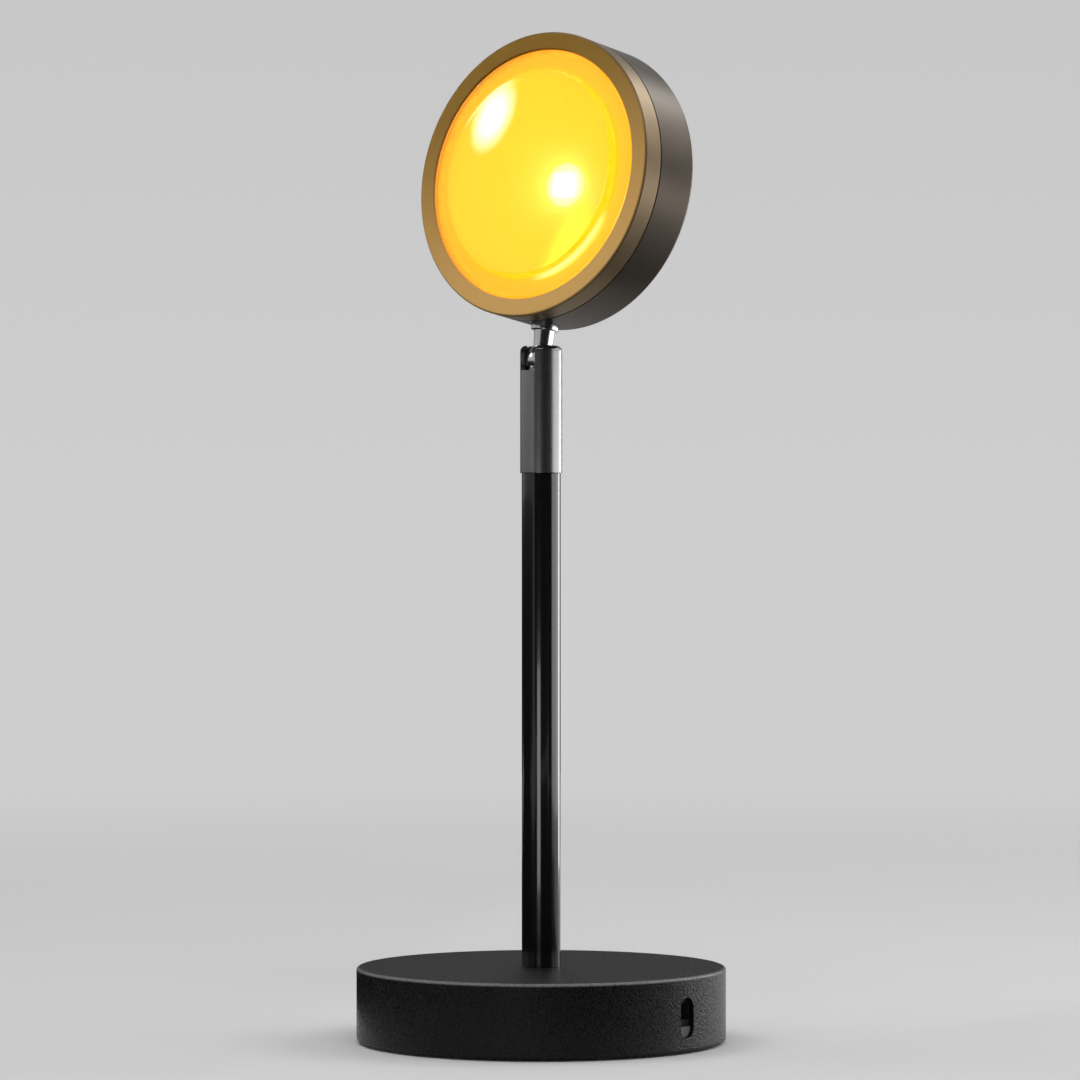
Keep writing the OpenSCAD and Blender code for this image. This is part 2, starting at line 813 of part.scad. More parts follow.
module thermal_pad() {
    color([0.60, 0.66, 0.72]) difference() {
        on_head() translate([0, 0, thermal_y]) cylinder(r = led_board_r, h = thermal_t);
        led_screw_places() translate([0, 0, thermal_y - past])
            cylinder(r = small_r + loose, h = thermal_t + 2 * past);
    }
}

module led_board() {
    color([0.93, 0.93, 0.92]) difference() {
        on_head() translate([0, 0, led_board_y]) cylinder(r = led_board_r, h = led_board_t);
        led_screw_places() translate([0, 0, led_board_y - past])
            cylinder(r = small_r + loose, h = led_board_t + 2 * past);
    }
}

module led_emitter() {
    color([1.0, 0.93, 0.60]) on_head() translate([0, 0, led_board_y - led_h]) union() {
        translate([-led_w / 2, -led_w / 2, 0]) cube([led_w, led_w, led_h]);
        intersection() {
            sphere(r = led_dome_r);
            translate([-led_w / 2, -led_w / 2, -led_w]) cube([led_w, led_w, led_w + led_h / 2]);
        }
    }
}

module led_screws() {
    color([0.75, 0.75, 0.77]) led_screw_places() {
        translate([0, 0, led_board_y - small_head_t]) cylinder(r = small_head_r, h = small_head_t);
        translate([0, 0, led_board_y])
            cylinder(r = small_r, h = back_in + led_screw_in - led_board_y);
    }
}

module head_lead() {
    run = head_lead_end - head_lead_start;
    color([0.85, 0.85, 0.83]) in_head() translate([0, 0, head_lead_start])
        rotate([-atan(head_lead_rise / run), 0, 0])
            cylinder(r = lead_r, h = norm([run, head_lead_rise]));
}

base_cover();
base_weight();
bottom_plate();
bottom_screws();
foot_pad();
driver_board();
driver_chip();
driver_coil();
board_screws();
usb_shell();
usb_tongue();
switch_case();
switch_board();
switch_board_screws();
switch_lead();
lead_plugs();
switch_knob();
post_tube();
post_stud();
post_washer();
post_nut();
post_journal();
post_lead();
ball_sleeve();
snap_ring();
ball_seat();
spring_washers();
ball_stem();
neck_collar();
neck_washer();
neck_nut();
neck_lead();
head_housing();
front_bezel();
lens();
lens_gasket();
colour_filter();
light_tunnel();
heat_spreader();
thermal_pad();
led_board();
led_emitter();
led_screws();
head_lead();
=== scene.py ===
# %% [markdown]
# # Dressing a sunset projection lamp
# The lamp is already built as exact solids: a weighted base, a straight post, a slotted ball
# joint and a flat round head. This script loads those solids as a fixed frame, turns finer
# pieces for what the eye meets, gives every piece a finish made of nodes, and lights the lot.
# A piece could be fitted by eye, but here each one repeats the solid's own sizes, so it lands
# in its place with no fitting and moves with the same body.

# %% Load the frame
from math import acos, asin, copysign, cos, hypot, pi, radians, sin

import bmesh
import bpy
from mathutils import Matrix, Vector


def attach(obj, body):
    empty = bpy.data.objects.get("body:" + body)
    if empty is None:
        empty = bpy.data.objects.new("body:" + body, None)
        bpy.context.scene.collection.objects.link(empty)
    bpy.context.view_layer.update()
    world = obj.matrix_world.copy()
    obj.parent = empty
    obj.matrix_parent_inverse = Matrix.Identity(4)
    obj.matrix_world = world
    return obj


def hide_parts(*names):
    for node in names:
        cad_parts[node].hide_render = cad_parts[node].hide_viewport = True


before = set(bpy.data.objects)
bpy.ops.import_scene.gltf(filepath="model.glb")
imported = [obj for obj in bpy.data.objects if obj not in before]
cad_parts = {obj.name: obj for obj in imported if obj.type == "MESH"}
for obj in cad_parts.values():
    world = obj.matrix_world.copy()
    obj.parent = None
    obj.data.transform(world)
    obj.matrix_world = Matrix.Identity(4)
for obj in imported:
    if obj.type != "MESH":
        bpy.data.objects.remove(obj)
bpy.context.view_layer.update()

# %% [markdown]
# ## Sizes
# The solids are in metres here, but a lamp maker thinks in millimetres. The sizes below are the
# solids' own, in millimetres, and MM turns them into metres where a mesh is made. The ball's
# middle and the head's middle get a matrix each, so that a piece can be turned round an upright
# axis at the origin and then be carried to its leaning place. Sizes that only one piece needs
# stand with that piece.

# %% Sizes of the lamp and the two leaning places
MM = 0.001

base_r, base_top = 47.5, 19.3
post_r, post_top = 5.0, 146.2
sleeve_r, sleeve_top = 5.4, 179.0
ball_z, ball_r = 175.2, 4.0
head_r, glass_r, dome_r = 37.2, 32.6, 26.6
front_y, part_y, back_y = -12.5, -6.0, 8.0
neck_lean, slot_turn, neck_reach = radians(8.7), radians(8), 46.4

ON_POST = Matrix.Translation((0, 0, ball_z * MM)) @ Matrix.Rotation(-slot_turn, 4, "Z")
ON_NECK = ON_POST @ Matrix.Rotation(-neck_lean, 4, "X")
ON_HEAD = (
    ON_NECK
    @ Matrix.Rotation(slot_turn, 4, "Z")
    @ Matrix.Translation((0, 0, neck_reach * MM))
    @ Matrix.Rotation(radians(-90), 4, "X")
)
HEAD_MIDDLE = ON_HEAD.translation
HEAD_TURN = ON_HEAD.to_euler()
print("head's middle in mm:", [round(c / MM, 2) for c in HEAD_MIDDLE])

# %% [markdown]
# ## Camera
# The photograph is taken level, from a little over a metre away, with a long lens: the base
# shows as a thin ellipse and the post has no visible taper. A long lens is set by the width that
# one metre of distance covers, so the camera is placed first and the focal length follows.

# %% Camera
camera_turn = radians(39.4)
camera_distance = 1.173
camera_height = 0.129
focal_length = 151.93
frame_shift = -0.0011

camera = bpy.data.objects.new("portrait_camera", bpy.data.cameras.new("portrait_camera"))
camera.location = (
    camera_distance * sin(camera_turn),
    -camera_distance * cos(camera_turn),
    camera_height,
)
camera.rotation_euler = (radians(90), 0, camera_turn)
camera.data.sensor_width = 36
camera.data.lens = focal_length
camera.data.shift_x = frame_shift
camera.data.clip_start = 0.01
bpy.context.scene.collection.objects.link(camera)
bpy.context.scene.camera = camera
bpy.context.scene.view_settings.view_transform = "Standard"
print("camera at:", [round(c, 4) for c in camera.location])

# %% [markdown]
# ## A finish in nodes
# A finish could be clicked together in the shader editor, but written down it can be repeated
# and compared. Two small classes do the work. `Wire` wraps a socket, so that plain sums in
# Python become Math nodes and a recipe reads like arithmetic.

# %% Wire: sums that become nodes
class Wire:
    """A shader socket on which plain sums add Math nodes."""

    def __init__(self, finish, socket):
        self.finish = finish
        self.socket = socket

    def out(self, name):
        return Wire(self.finish, self.socket.node.outputs[name])

    def maths(self, operation, *values):
        sockets = dict(enumerate(values))
        return self.finish.add("ShaderNodeMath", {"operation": operation}, sockets)

    def __add__(self, other):
        return self.maths("ADD", self, other)

    def __sub__(self, other):
        return self.maths("SUBTRACT", self, other)

    def __rsub__(self, other):
        return self.maths("SUBTRACT", other, self)

    def __mul__(self, other):
        return self.maths("MULTIPLY", self, other)

    def __truediv__(self, other):
        return self.maths("DIVIDE", self, other)

    __radd__ = __add__
    __rmul__ = __mul__

    def power(self, exponent):
        return self.maths("POWER", self, exponent)

    def between(self, low, high):
        """0 below low, 1 above high, and smooth between; low may be the larger."""
        sockets = {"Value": self, "From Min": low, "From Max": high}
        settings = {"interpolation_type": "SMOOTHSTEP"}
        return self.finish.add("ShaderNodeMapRange", settings, sockets)


# %% [markdown]
# `Finish` holds one material. Its method `add` makes any node, from the node's type, settings
# and inputs, and all the others are built on it: grain, cells, tints, lathe lines and relief.
# Patterns use object coordinates, since a piece's origin is the lamp's own, so a size in the
# recipe is a real size. What is turned also needs the distance from its own axis.

# %% Finish: one material
class Finish:
    """One procedural material, with the constants that are set on the shader itself."""

    def __init__(self, name, constants):
        self.material = bpy.data.materials.new(name)
        self.material.use_nodes = True
        self.tree = self.material.node_tree
        self.shader = self.tree.nodes["Principled BSDF"]
        for socket, value in constants.items():
            self.shader.inputs[socket].default_value = value
        self.place = self.add("ShaderNodeTexCoord", {}, {}).out("Object")

    def add(self, kind, settings, sockets):
        """Makes a node and returns its first output."""
        node = self.tree.nodes.new(kind)
        for setting, value in settings.items():
            if setting == "stops":
                spare = node.color_ramp.elements
                for stop, (at, colour) in enumerate(value):
                    element = spare[stop] if stop < len(spare) else spare.new(at)
                    element.position = at
                    element.color = (*colour, 1)
            else:
                setattr(node, setting, value)
        for socket, value in sockets.items():
            self.join(node.inputs[socket], value)
        return Wire(self, node.outputs[0])

    def join(self, socket, value):
        """Links a wire to a socket, or sets the socket to a plain value."""
        if isinstance(value, Wire):
            self.tree.links.new(value.socket, socket)
        elif hasattr(value, "__len__") and len(socket.default_value) == 4:
            socket.default_value = (*value[:3], 1)
        else:
            socket.default_value = value

    def feed(self, **sockets):
        """Joins values to the shader's own sockets."""
        for socket, value in sockets.items():
            self.join(self.shader.inputs[socket.replace("_", " ")], value)

    def paint(self, mask, low, high, roughness):
        """Spreads two near tones by a mask, and sets the roughness."""
        self.feed(Base_Color=self.tint(mask, low, high), Roughness=roughness)

    def noise(self, size, at=None, detail=2.0, roughness=0.5):
        """Cloudy grain whose lumps are about size metres across, from 0 to 1."""
        sockets = {"Vector": at or self.place, "Scale": 1 / size}
        sockets |= {"Detail": detail, "Roughness": roughness}
        return self.add("ShaderNodeTexNoise", {}, sockets)

    def cells(self, size, feature="F1"):
        """Distance inside cells of about size metres."""
        sockets = {"Vector": self.place, "Scale": 1 / size}
        return self.add("ShaderNodeTexVoronoi", {"feature": feature}, sockets)

    def tint(self, mask, low, high):
        """The colour low where mask is 0 and high where it is 1."""
        mix = self.add("ShaderNodeMix", {"data_type": "RGBA"}, {0: mask, 6: low, 7: high})
        return mix.out(2)

    def ramp(self, mask, *stops):
        """Colours at stops along the mask."""
        return self.add("ShaderNodeValToRGB", {"stops": stops}, {0: mask})

    def mapped(self, location=(0, 0, 0), turn=(0, 0, 0), scale=(1, 1, 1)):
        """Object coordinates as seen from a place on the piece."""
        sockets = {"Vector": self.place, "Location": location, "Rotation": turn, "Scale": scale}
        return self.add("ShaderNodeMapping", {"vector_type": "TEXTURE"}, sockets)

    def turned(self, at=None):
        """Distance from the Z axis, height along it, and the two coordinates across it."""
        split = self.add("ShaderNodeSeparateXYZ", {}, {0: at or self.place})
        x, y, along = split, split.out("Y"), split.out("Z")
        radius = (x * x + y * y).power(0.5)
        return radius, along, x, y

    def on_head(self):
        """The same round the head's own axis."""
        return self.turned(self.mapped(HEAD_MIDDLE, HEAD_TURN))

    def rings(self, radius, along, pitch):
        """Fine lines round an axis, as a lathe leaves them, about pitch metres apart."""
        line = self.add("ShaderNodeCombineXYZ", {}, {0: radius, 1: along * 0.93, 2: 0.0})
        return self.noise(pitch, at=line, detail=3.0, roughness=0.65)

    def relief(self, height, depth):
        """Feeds a bump of that depth in metres, for a height from 0 to 1."""
        sockets = {"Strength": 1.0, "Distance": depth, "Height": height}
        self.feed(Normal=self.add("ShaderNodeBump", {}, sockets))


# %% [markdown]
# Each finish is kept under its name, which is also the name of the material slot that it fills
# on the solids. A second helper turns a mesh into an object with its finish.

# %% The list of finishes, and objects from meshes
finishes = {}


def finish(name, **constants):
    """Starts a finish and keeps it under its name."""
    finishes[name] = Finish(name, {k.replace("_", " "): v for k, v in constants.items()})
    print("finish:", name)
    return finishes[name]


def to_object(name, mesh, look):
    """Makes an object of a bmesh, which it frees, and gives it a finish."""
    data = bpy.data.meshes.new(name)
    mesh.to_mesh(data)
    mesh.free()
    data.materials.append(look.material)
    made = bpy.data.objects.new(name, data)
    bpy.context.scene.collection.objects.link(made)
    return made


# %% [markdown]
# ## Stage
# The lamp stands on a plain pale floor in soft studio light. A floor that simply ends shows a
# hard horizon, so its far part fades to the level of the wall behind it.

# %% Floor
wall_level = 0.62

floor_mesh = bmesh.new()
bmesh.ops.create_circle(floor_mesh, cap_ends=True, segments=96, radius=6.0)
floor_paint = finish("floor_paint", Roughness=0.8, Specular_IOR_Level=0.1)
mottle = floor_paint.noise(0.08, detail=3)
floor_paint.feed(Base_Color=floor_paint.tint(mottle, (0.80, 0.80, 0.80), (0.83, 0.83, 0.83)))
far = floor_paint.turned()[0].between(0.16, 1.3)
glow = floor_paint.add("ShaderNodeEmission", {}, {"Color": (1, 1, 1), "Strength": wall_level})
near = Wire(floor_paint, floor_paint.shader.outputs[0])
mixed = floor_paint.add("ShaderNodeMixShader", {}, {0: far, 1: near, 2: glow})
floor_paint.join(floor_paint.tree.nodes["Material Output"].inputs["Surface"], mixed)
floor = to_object("floor", floor_mesh, floor_paint)

# %% [markdown]
# The world stands in for the studio's wall. It is paler at eye height than overhead, as a lit
# wall is, so that polished metal shows a gradient. A room could be modelled instead, but it
# would have to be lit as well.

# %% World
overhead_level = 0.36

world = bpy.data.worlds.new("studio")
bpy.context.scene.world = world
world.use_nodes = True
sky = world.node_tree
sky_at = sky.nodes.new("ShaderNodeTexCoord")
sky_split = sky.nodes.new("ShaderNodeSeparateXYZ")
sky_ramp = sky.nodes.new("ShaderNodeValToRGB")
for stop, (at, level) in enumerate(((0.0, wall_level), (0.7, overhead_level))):
    sky_ramp.color_ramp.elements[stop].position = at
    sky_ramp.color_ramp.elements[stop].color = (level, level, level, 1)
sky.links.new(sky_at.outputs["Generated"], sky_split.inputs[0])
sky.links.new(sky_split.outputs["Z"], sky_ramp.inputs[0])
sky.links.new(sky_ramp.outputs[0], sky.nodes["Background"].inputs["Color"])
print("world level at eye height:", wall_level)

# %% [markdown]
# ## Lamps
# A softbox is a rectangle of even light, and its radiance is what a mirror would show of it.
# Blender asks for the power of an area lamp, so the helper works the power out from the level
# wanted. Each box is given by its bearing, which is the angle to the right of the camera as the
# lamp sees it, its distance and height, its own width and height, and its level.

# %% Softboxes
LIT_POINT = Vector((0, 0, 0.12))


def around(bearing, distance, height):
    """A place in the studio, bearing degrees to the right of the camera as the lamp sees it."""
    turn = camera_turn + radians(bearing)
    return Vector((distance * sin(turn), -distance * cos(turn), height))


def softbox(name, bearing, distance, height, wide, tall, level):
    """An area lamp of an even level, whatever its size."""
    data = bpy.data.lights.new(name, "AREA")
    data.shape = "RECTANGLE"
    data.size, data.size_y = wide, tall
    data.energy = level * pi * wide * tall
    box = bpy.data.objects.new(name, data)
    box.location = around(bearing, distance, height)
    box.rotation_euler = (LIT_POINT - box.location).to_track_quat("-Z", "Y").to_euler()
    box.visible_camera = False
    bpy.context.scene.collection.objects.link(box)
    print(name, "level", level, "power", round(data.energy, 2), "W")


softbox("softbox_right", 98, 1.00, 0.80, 1.00, 0.50, 2.2)
softbox("softbox_left", -95, 0.62, 1.20, 0.70, 0.50, 1.6)
softbox("softbox_top", -150, 0.50, 1.50, 1.00, 0.80, 0.9)
softbox("softbox_front", 5, 0.75, 1.15, 0.70, 0.45, 2.6)

# %% [markdown]
# A small round lamp to the left draws the soft glint on the lens. An area lamp has a hard edge
# in a mirror, so this one is a disc of glowing cloth instead, bright in its middle and fading to
# nothing at its rim. It is there for reflections alone and lights nothing else.

# %% Round glint lamp
glint_r = 0.15

disc_mesh = bmesh.new()
bmesh.ops.create_circle(disc_mesh, cap_ends=True, segments=64, radius=glint_r)
disc_paint = finish("glint_disc", Specular_IOR_Level=0.0, Emission_Strength=26.0)
fade = disc_paint.turned()[0].between(glint_r, 0.02)
disc_paint.feed(
    Base_Color=disc_paint.tint(fade, (0.0, 0.0, 0.0), (0.02, 0.02, 0.02)),
    Emission_Color=disc_paint.tint(fade, (0, 0, 0), (1.0, 0.97, 0.90)),
    Alpha=fade.between(0.0, 0.05),
)
disc = to_object("glint_disc", disc_mesh, disc_paint)
disc.location = around(-96.5, 1.0, 0.71)
disc.rotation_euler = (Vector((0, 0, 0.22)) - disc.location).to_track_quat("Z", "Y").to_euler()
disc.visible_camera = disc.visible_diffuse = disc.visible_shadow = False
print("glint disc at:", [round(c, 3) for c in disc.location])

# %% [markdown]
# ## Cards that shape the reflections
# Polished metal and gloss paint have hardly a tone of their own: they show the studio. So a
# photographer hangs cards round a lamp, black ones where it should go dark and white ones where
# it should catch a line of light. More lamps could do the same, but they would also light the
# floor and the backdrop, so these cards are seen in reflections only. One helper makes them all.

# %% A card of cloth
def card(name, bearing, distance, height, wide, tall, flat=False, paint="black_cloth"):
    """A card at a bearing in degrees, its other sizes in metres, seen in reflections only."""
    mesh = bmesh.new()
    bmesh.ops.create_grid(mesh, x_segments=2, y_segments=2, size=0.5)
    facing = Matrix.Translation(around(bearing, distance, height))
    facing @= Matrix.Rotation(camera_turn + radians(bearing), 4, "Z")
    facing @= Matrix.Rotation(radians(0 if flat else 90), 4, "X")
    facing @= Matrix.Diagonal((wide, tall, 1, 1))
    bmesh.ops.transform(mesh, matrix=facing, verts=mesh.verts)
    cloth = to_object(name, mesh, finishes[paint])
    cloth.visible_camera = cloth.visible_diffuse = cloth.visible_shadow = False
    print(name, wide, "x", tall, "m")


# %% [markdown]
# The black cloths come first. The ones behind the camera keep the middle of the metal dark, which
# is what makes a turned part read as round, and the ones on the floor keep the black base black.
# A low one right behind the lamp keeps the base's top from turning pale at its flat angle. Two
# narrow flags behind the lamp, just out of view, draw a dark line down each edge of the metal
# against the pale backdrop.

# %% Black cloths
cloth_paint = finish("black_cloth", Roughness=1.0, Specular_IOR_Level=0.0)
weave = cloth_paint.noise(0.01)
cloth_paint.feed(Base_Color=cloth_paint.tint(weave, (0.004, 0.004, 0.004), (0.01, 0.01, 0.01)))

card("black_cloth_front", 4, 1.5, 0.65, 3.0, 1.9)
card("black_cloth_right", 55, 1.3, 0.65, 0.45, 1.9)
card("black_cloth_left", -97, 1.2, 0.076, 2.6, 0.152)
card("black_cloth_back", 180, 1.3, 0.18, 1.5, 0.36)
card("black_floor_front", 4, 0.66, 0.001, 1.3, 1.15, flat=True)
card("black_floor_right", 55, 0.62, 0.0012, 0.40, 1.1, flat=True)
card("black_floor_left", -97, 0.62, 0.0014, 1.2, 1.1, flat=True)
card("black_flag_right", 151, 0.75, 0.30, 0.20, 0.60)
card("black_flag_left", -152, 0.75, 0.30, 0.22, 0.60)

# %% [markdown]
# The white cards glow like lit paper, each with a level of its own. The one to the side lights
# the right of the post and of the base, the low one near the camera draws the soft band down the
# middle of the post, the one behind on the right draws the thin rim, and the one above gives the
# housing its sheen.

# %% White cards
for glow_name, glow_level in (
    ("glow_side", 2.8), ("glow_low", 3.8), ("glow_rim", 6.5), ("glow_over", 9.0)
):
    glow_paint = finish(glow_name, Specular_IOR_Level=0.0, Emission_Strength=glow_level)
    glow_weave = glow_paint.noise(0.01)
    glow_paint.feed(
        Base_Color=glow_paint.tint(glow_weave, (0.02, 0.02, 0.02), (0.03, 0.03, 0.03)),
        Emission_Color=glow_paint.tint(glow_weave, (0.95, 0.95, 0.95), (1.0, 1.0, 1.0)),
    )

card("glow_card_side", 98, 0.80, 0.115, 1.00, 0.21, paint="glow_side")
card("glow_card_low", -14, 0.45, 0.045, 0.15, 0.08, paint="glow_low")
card("glow_card_rim", 131, 0.62, 0.16, 0.16, 0.32, paint="glow_rim")
card("glow_card_over", 124, 0.95, 0.98, 0.50, 0.38, paint="glow_over")

# %% [markdown]
# ## Finish: black powder coat
# The base is sprayed with a fine sand-textured powder and baked: near-black, with grains of a
# third of a millimetre that break the highlight into sparkle. Two sizes of noise raise the
# grains and make their tops a little smoother and greyer than the hollows. The upright side is
# sprayed square on, so the powder lies smoother there than on the top. Along the top edge the
# colour is a painted highlight: a thin grey line where the rounded edge would catch the light.

# %% Black powder coat
powder = finish("black_powder_coat", Specular_IOR_Level=0.20)
grain = powder.noise(0.00050, detail=2.5, roughness=0.6)
lumps = powder.noise(0.0011, detail=1.0)
grit = grain.between(0.38, 0.66)
powder_radius, powder_up = powder.turned()[:2]
# Painted highlight: a thin grey line in the colour, along the rounded top edge.
edge_highlight_round = powder_radius.between((base_r - 0.9) * MM, (base_r - 0.4) * MM)
edge_highlight_top = powder_up.between((base_top - 0.9) * MM, (base_top - 0.4) * MM)
painted_edge_highlight = edge_highlight_round * edge_highlight_top
side = powder_radius.between((base_r - 0.7) * MM, (base_r - 0.2) * MM)
powder.feed(
    # The base colour turns grey along the top edge, as a painted highlight.
    Base_Color=powder.tint(
        painted_edge_highlight,
        powder.tint(grit, (0.0012, 0.0012, 0.0014), (0.0055, 0.0055, 0.0060)),
        powder.tint(grit, (0.120, 0.120, 0.124), (0.230, 0.230, 0.236)),
    ),
    Roughness=0.42 - grit * 0.14 + lumps * 0.06 - side * 0.12,
)
powder.relief(grit * 0.75 + lumps * 0.25, 0.00009)

# %% [markdown]
# ## Finish: gloss black paint
# The post is a tube with gloss paint: dark, with a faint orange peel and the cloudy trace of a
# cloth that wiped it. It is held by its reflections, so the bump stays far smaller than on the
# base, and a thin coat gives the sharp reflection over the softer one.

# %% Gloss black post
gloss = finish(
    "post_gloss_black", Specular_IOR_Level=0.4, Coat_Weight=0.45, Coat_Roughness=0.04
)
peel = gloss.noise(0.0016, detail=1.0)
wipe = gloss.noise(0.006, detail=4.0, roughness=0.7)
gloss.paint(wipe, (0.0035, 0.0035, 0.0038), (0.0065, 0.0065, 0.007), 0.10 + wipe * 0.08)
gloss.relief(peel, 0.0000035)

# %% [markdown]
# ## Finishes: dark nickel and bright chrome
# The sleeve is satin nickel with a dark tint. It was blasted before plating, which leaves a very
# fine even grain over the lines of the lathe. The ball and neck are polished chrome, where only
# smears of handling change the roughness a little.

# %% Sleeve, ball and neck
nickel = finish("dark_nickel", Metallic=1.0)
blast = nickel.noise(0.00022, detail=2.0)
cloud = nickel.noise(0.004, detail=3.0)
nickel_radius, nickel_along = nickel.turned()[:2]
nickel.paint(
    cloud, (0.245, 0.240, 0.245), (0.285, 0.280, 0.285), 0.25 + blast * 0.05 + cloud * 0.04
)
nickel.relief(
    blast * 0.6 + nickel.rings(nickel_radius, nickel_along, 0.0003) * 0.4, 0.000004
)

chrome = finish("bright_chrome", Metallic=1.0)
smear = chrome.noise(0.0025, detail=4.0, roughness=0.7)
polish = chrome.noise(0.0003, detail=1.0)
chrome.paint(smear, (0.55, 0.55, 0.56), (0.63, 0.63, 0.64), 0.17 + smear * 0.09)
chrome.relief(polish, 0.0000012)

# %% [markdown]
# ## Finishes: the head's metal
# The rear housing is dark gunmetal and the ring round the lens is a warmer champagne grey,
# whose warmth is partly painted amber light from the lens. Both are turned from solid and
# lightly blasted, so very fine lines run round the head's axis, and the coordinates are first
# carried into the head's place to follow it. The lit lens throws some of its light on the ring
# before it. A renderer needs very many paths to find that light, so the ring's face gets it as a
# faint glow of its own, which grows from its top to its bottom, and its base colour is painted a
# deeper amber than the side: painted light from the lens.

# %% Gunmetal, and champagne with painted lens light
gunmetal = finish("gunmetal", Metallic=1.0)
gun_radius, gun_depth = gunmetal.on_head()[:2]
gun_lines = gunmetal.rings(gun_radius, gun_depth, 0.0004)
gun_cloud = gunmetal.noise(0.006, detail=3.0)
gun_grain = gunmetal.noise(0.00025, detail=1.0)
gunmetal.paint(
    gun_cloud, (0.052, 0.041, 0.031), (0.068, 0.055, 0.043),
    0.30 + gun_lines * 0.12 + gun_cloud * 0.05,
)
gunmetal.relief(gun_lines * 0.6 + gun_grain * 0.4, 0.000012)

champagne_lens_lit = finish("champagne_lens_lit", Metallic=1.0)
ring_radius, ring_depth, ring_x, ring_down = champagne_lens_lit.on_head()
ring_lines = champagne_lens_lit.rings(ring_radius, ring_depth, 0.0004)
ring_cloud = champagne_lens_lit.noise(0.005, detail=3.0)
ring_grain = champagne_lens_lit.noise(0.00025, detail=1.0)
# The ring's face gets a deeper amber base colour and a glow, both painted light from the lens.
ring_face = ring_radius.between(head_r * MM, (head_r - 0.6) * MM)
ring_glow = (ring_x * 0.3 + ring_down * 0.95).between(-head_r * MM, head_r * MM)
ring_light = champagne_lens_lit.tint(ring_glow * ring_face, (0.01, 0.005, 0.0), (0.37, 0.225, 0.085))
# The face's amber tone below is painted light from the lens; the side keeps the metal's grey.
champagne_lens_lit.feed(
    Base_Color=champagne_lens_lit.tint(
        ring_face,
        champagne_lens_lit.tint(ring_cloud, (0.135, 0.098, 0.058), (0.165, 0.122, 0.075)),
        champagne_lens_lit.tint(ring_cloud, (0.145, 0.082, 0.014), (0.170, 0.098, 0.022)),
    ),
    Roughness=0.34 + ring_lines * 0.10 + ring_grain * 0.05,
    Emission_Color=ring_light,
    Emission_Strength=1.0,
)
champagne_lens_lit.relief(ring_lines * 0.5 + ring_grain * 0.5, 0.000012)

# %% [markdown]
# ## Finishes: the light
# The lens is amber acrylic. It could be painted as a bright disc, but then it would look the
# same from all sides, so it is real glass here: most of the light comes from the white tunnel
# and the emitter behind it, and a part from the acrylic itself, which glows where light is
# caught at its rim. At the step round the raised middle, two bright arcs at the lower right
# and the upper left are painted highlights in the glass's glow.

# %% Amber glass
lens_glass = finish("amber_glass", Transmission_Weight=0.72, IOR=1.49, Emission_Strength=1.0)
lens_radius, _, lens_x, lens_down = lens_glass.on_head()
haze = lens_glass.noise(0.009, detail=2.0)
# Painted highlights: two thin arcs on the step, one to the lower right and one to the upper left.
lens_aside = (lens_x * 0.62 + lens_down * 0.78) / lens_radius
step_r = dome_r * MM
outer_arc = lens_radius.between(step_r + 0.0005, step_r + 0.0009)
outer_arc *= lens_radius.between(step_r + 0.0020, step_r + 0.0015)
inner_arc = lens_radius.between(step_r - 0.0016, step_r - 0.0012)
inner_arc *= lens_radius.between(step_r - 0.0004, step_r - 0.0008)
painted_step_highlight = outer_arc * lens_aside.between(0.84, 0.97)
painted_step_highlight += inner_arc * lens_aside.between(-0.90, -0.98)
lens_glow = lens_glass.ramp(
    lens_radius / 0.035,
    (0.0, (0.30, 0.19, 0.002)),
    (0.72, (0.30, 0.18, 0.002)),
    (0.80, (0.32, 0.13, 0.002)),
    (1.0, (0.34, 0.10, 0.002)),
)
lens_glass.feed(
    Base_Color=lens_glass.tint(haze, (1.0, 0.70, 0.055), (1.0, 0.73, 0.07)),
    Roughness=0.015 + haze * 0.02,
    # The emission carries the painted highlight arcs over the glow of the rim.
    Emission_Color=lens_glass.tint(painted_step_highlight, lens_glow, (0.60, 0.55, 0.26)),
)
lens_glass.relief(lens_glass.noise(0.012, detail=1.0), 0.000004)

# %% [markdown]
# Behind the lens lies a thin sheet of orange gel, and behind that the light tunnel, a white cone
# that is brightest at the emitter and goes more orange where less light reaches its wall.

# %% Filter and tunnel
gel = finish("filter_orange", Transmission_Weight=1.0, IOR=1.45)
gel_film = gel.noise(0.004, detail=2.0)
gel.paint(gel_film, (1.0, 0.90, 0.42), (1.0, 0.93, 0.48), 0.01 + gel_film * 0.02)
gel.relief(gel_film, 0.000001)

tunnel = finish("tunnel_white", Roughness=0.6, Emission_Strength=1.18)
tunnel_radius = tunnel.on_head()[0]
tunnel_skin = tunnel.noise(0.0012, detail=2.0)
tunnel.feed(
    Base_Color=tunnel.tint(tunnel_skin, (0.82, 0.81, 0.78), (0.87, 0.86, 0.83)),
    Emission_Color=tunnel.ramp(
        tunnel_radius / 0.034,
        (0.15, (1.0, 0.97, 0.75)),
        (0.22, (0.62, 0.56, 0.30)),
        (0.34, (0.44, 0.39, 0.10)),
        (0.80, (0.42, 0.355, 0.06)),
        (1.0, (0.40, 0.22, 0.04)),
    ),
)
tunnel.relief(tunnel_skin, 0.00001)

# %% [markdown]
# The emitter has to look white through the lens. Amber glass lets all the red and most of the
# green through but hardly any blue, so the light that comes out white went in very blue. That
# is also how a white emitter works: it is a blue one under a yellow paste. The board round it
# is white and lit by it, most of all near the middle.

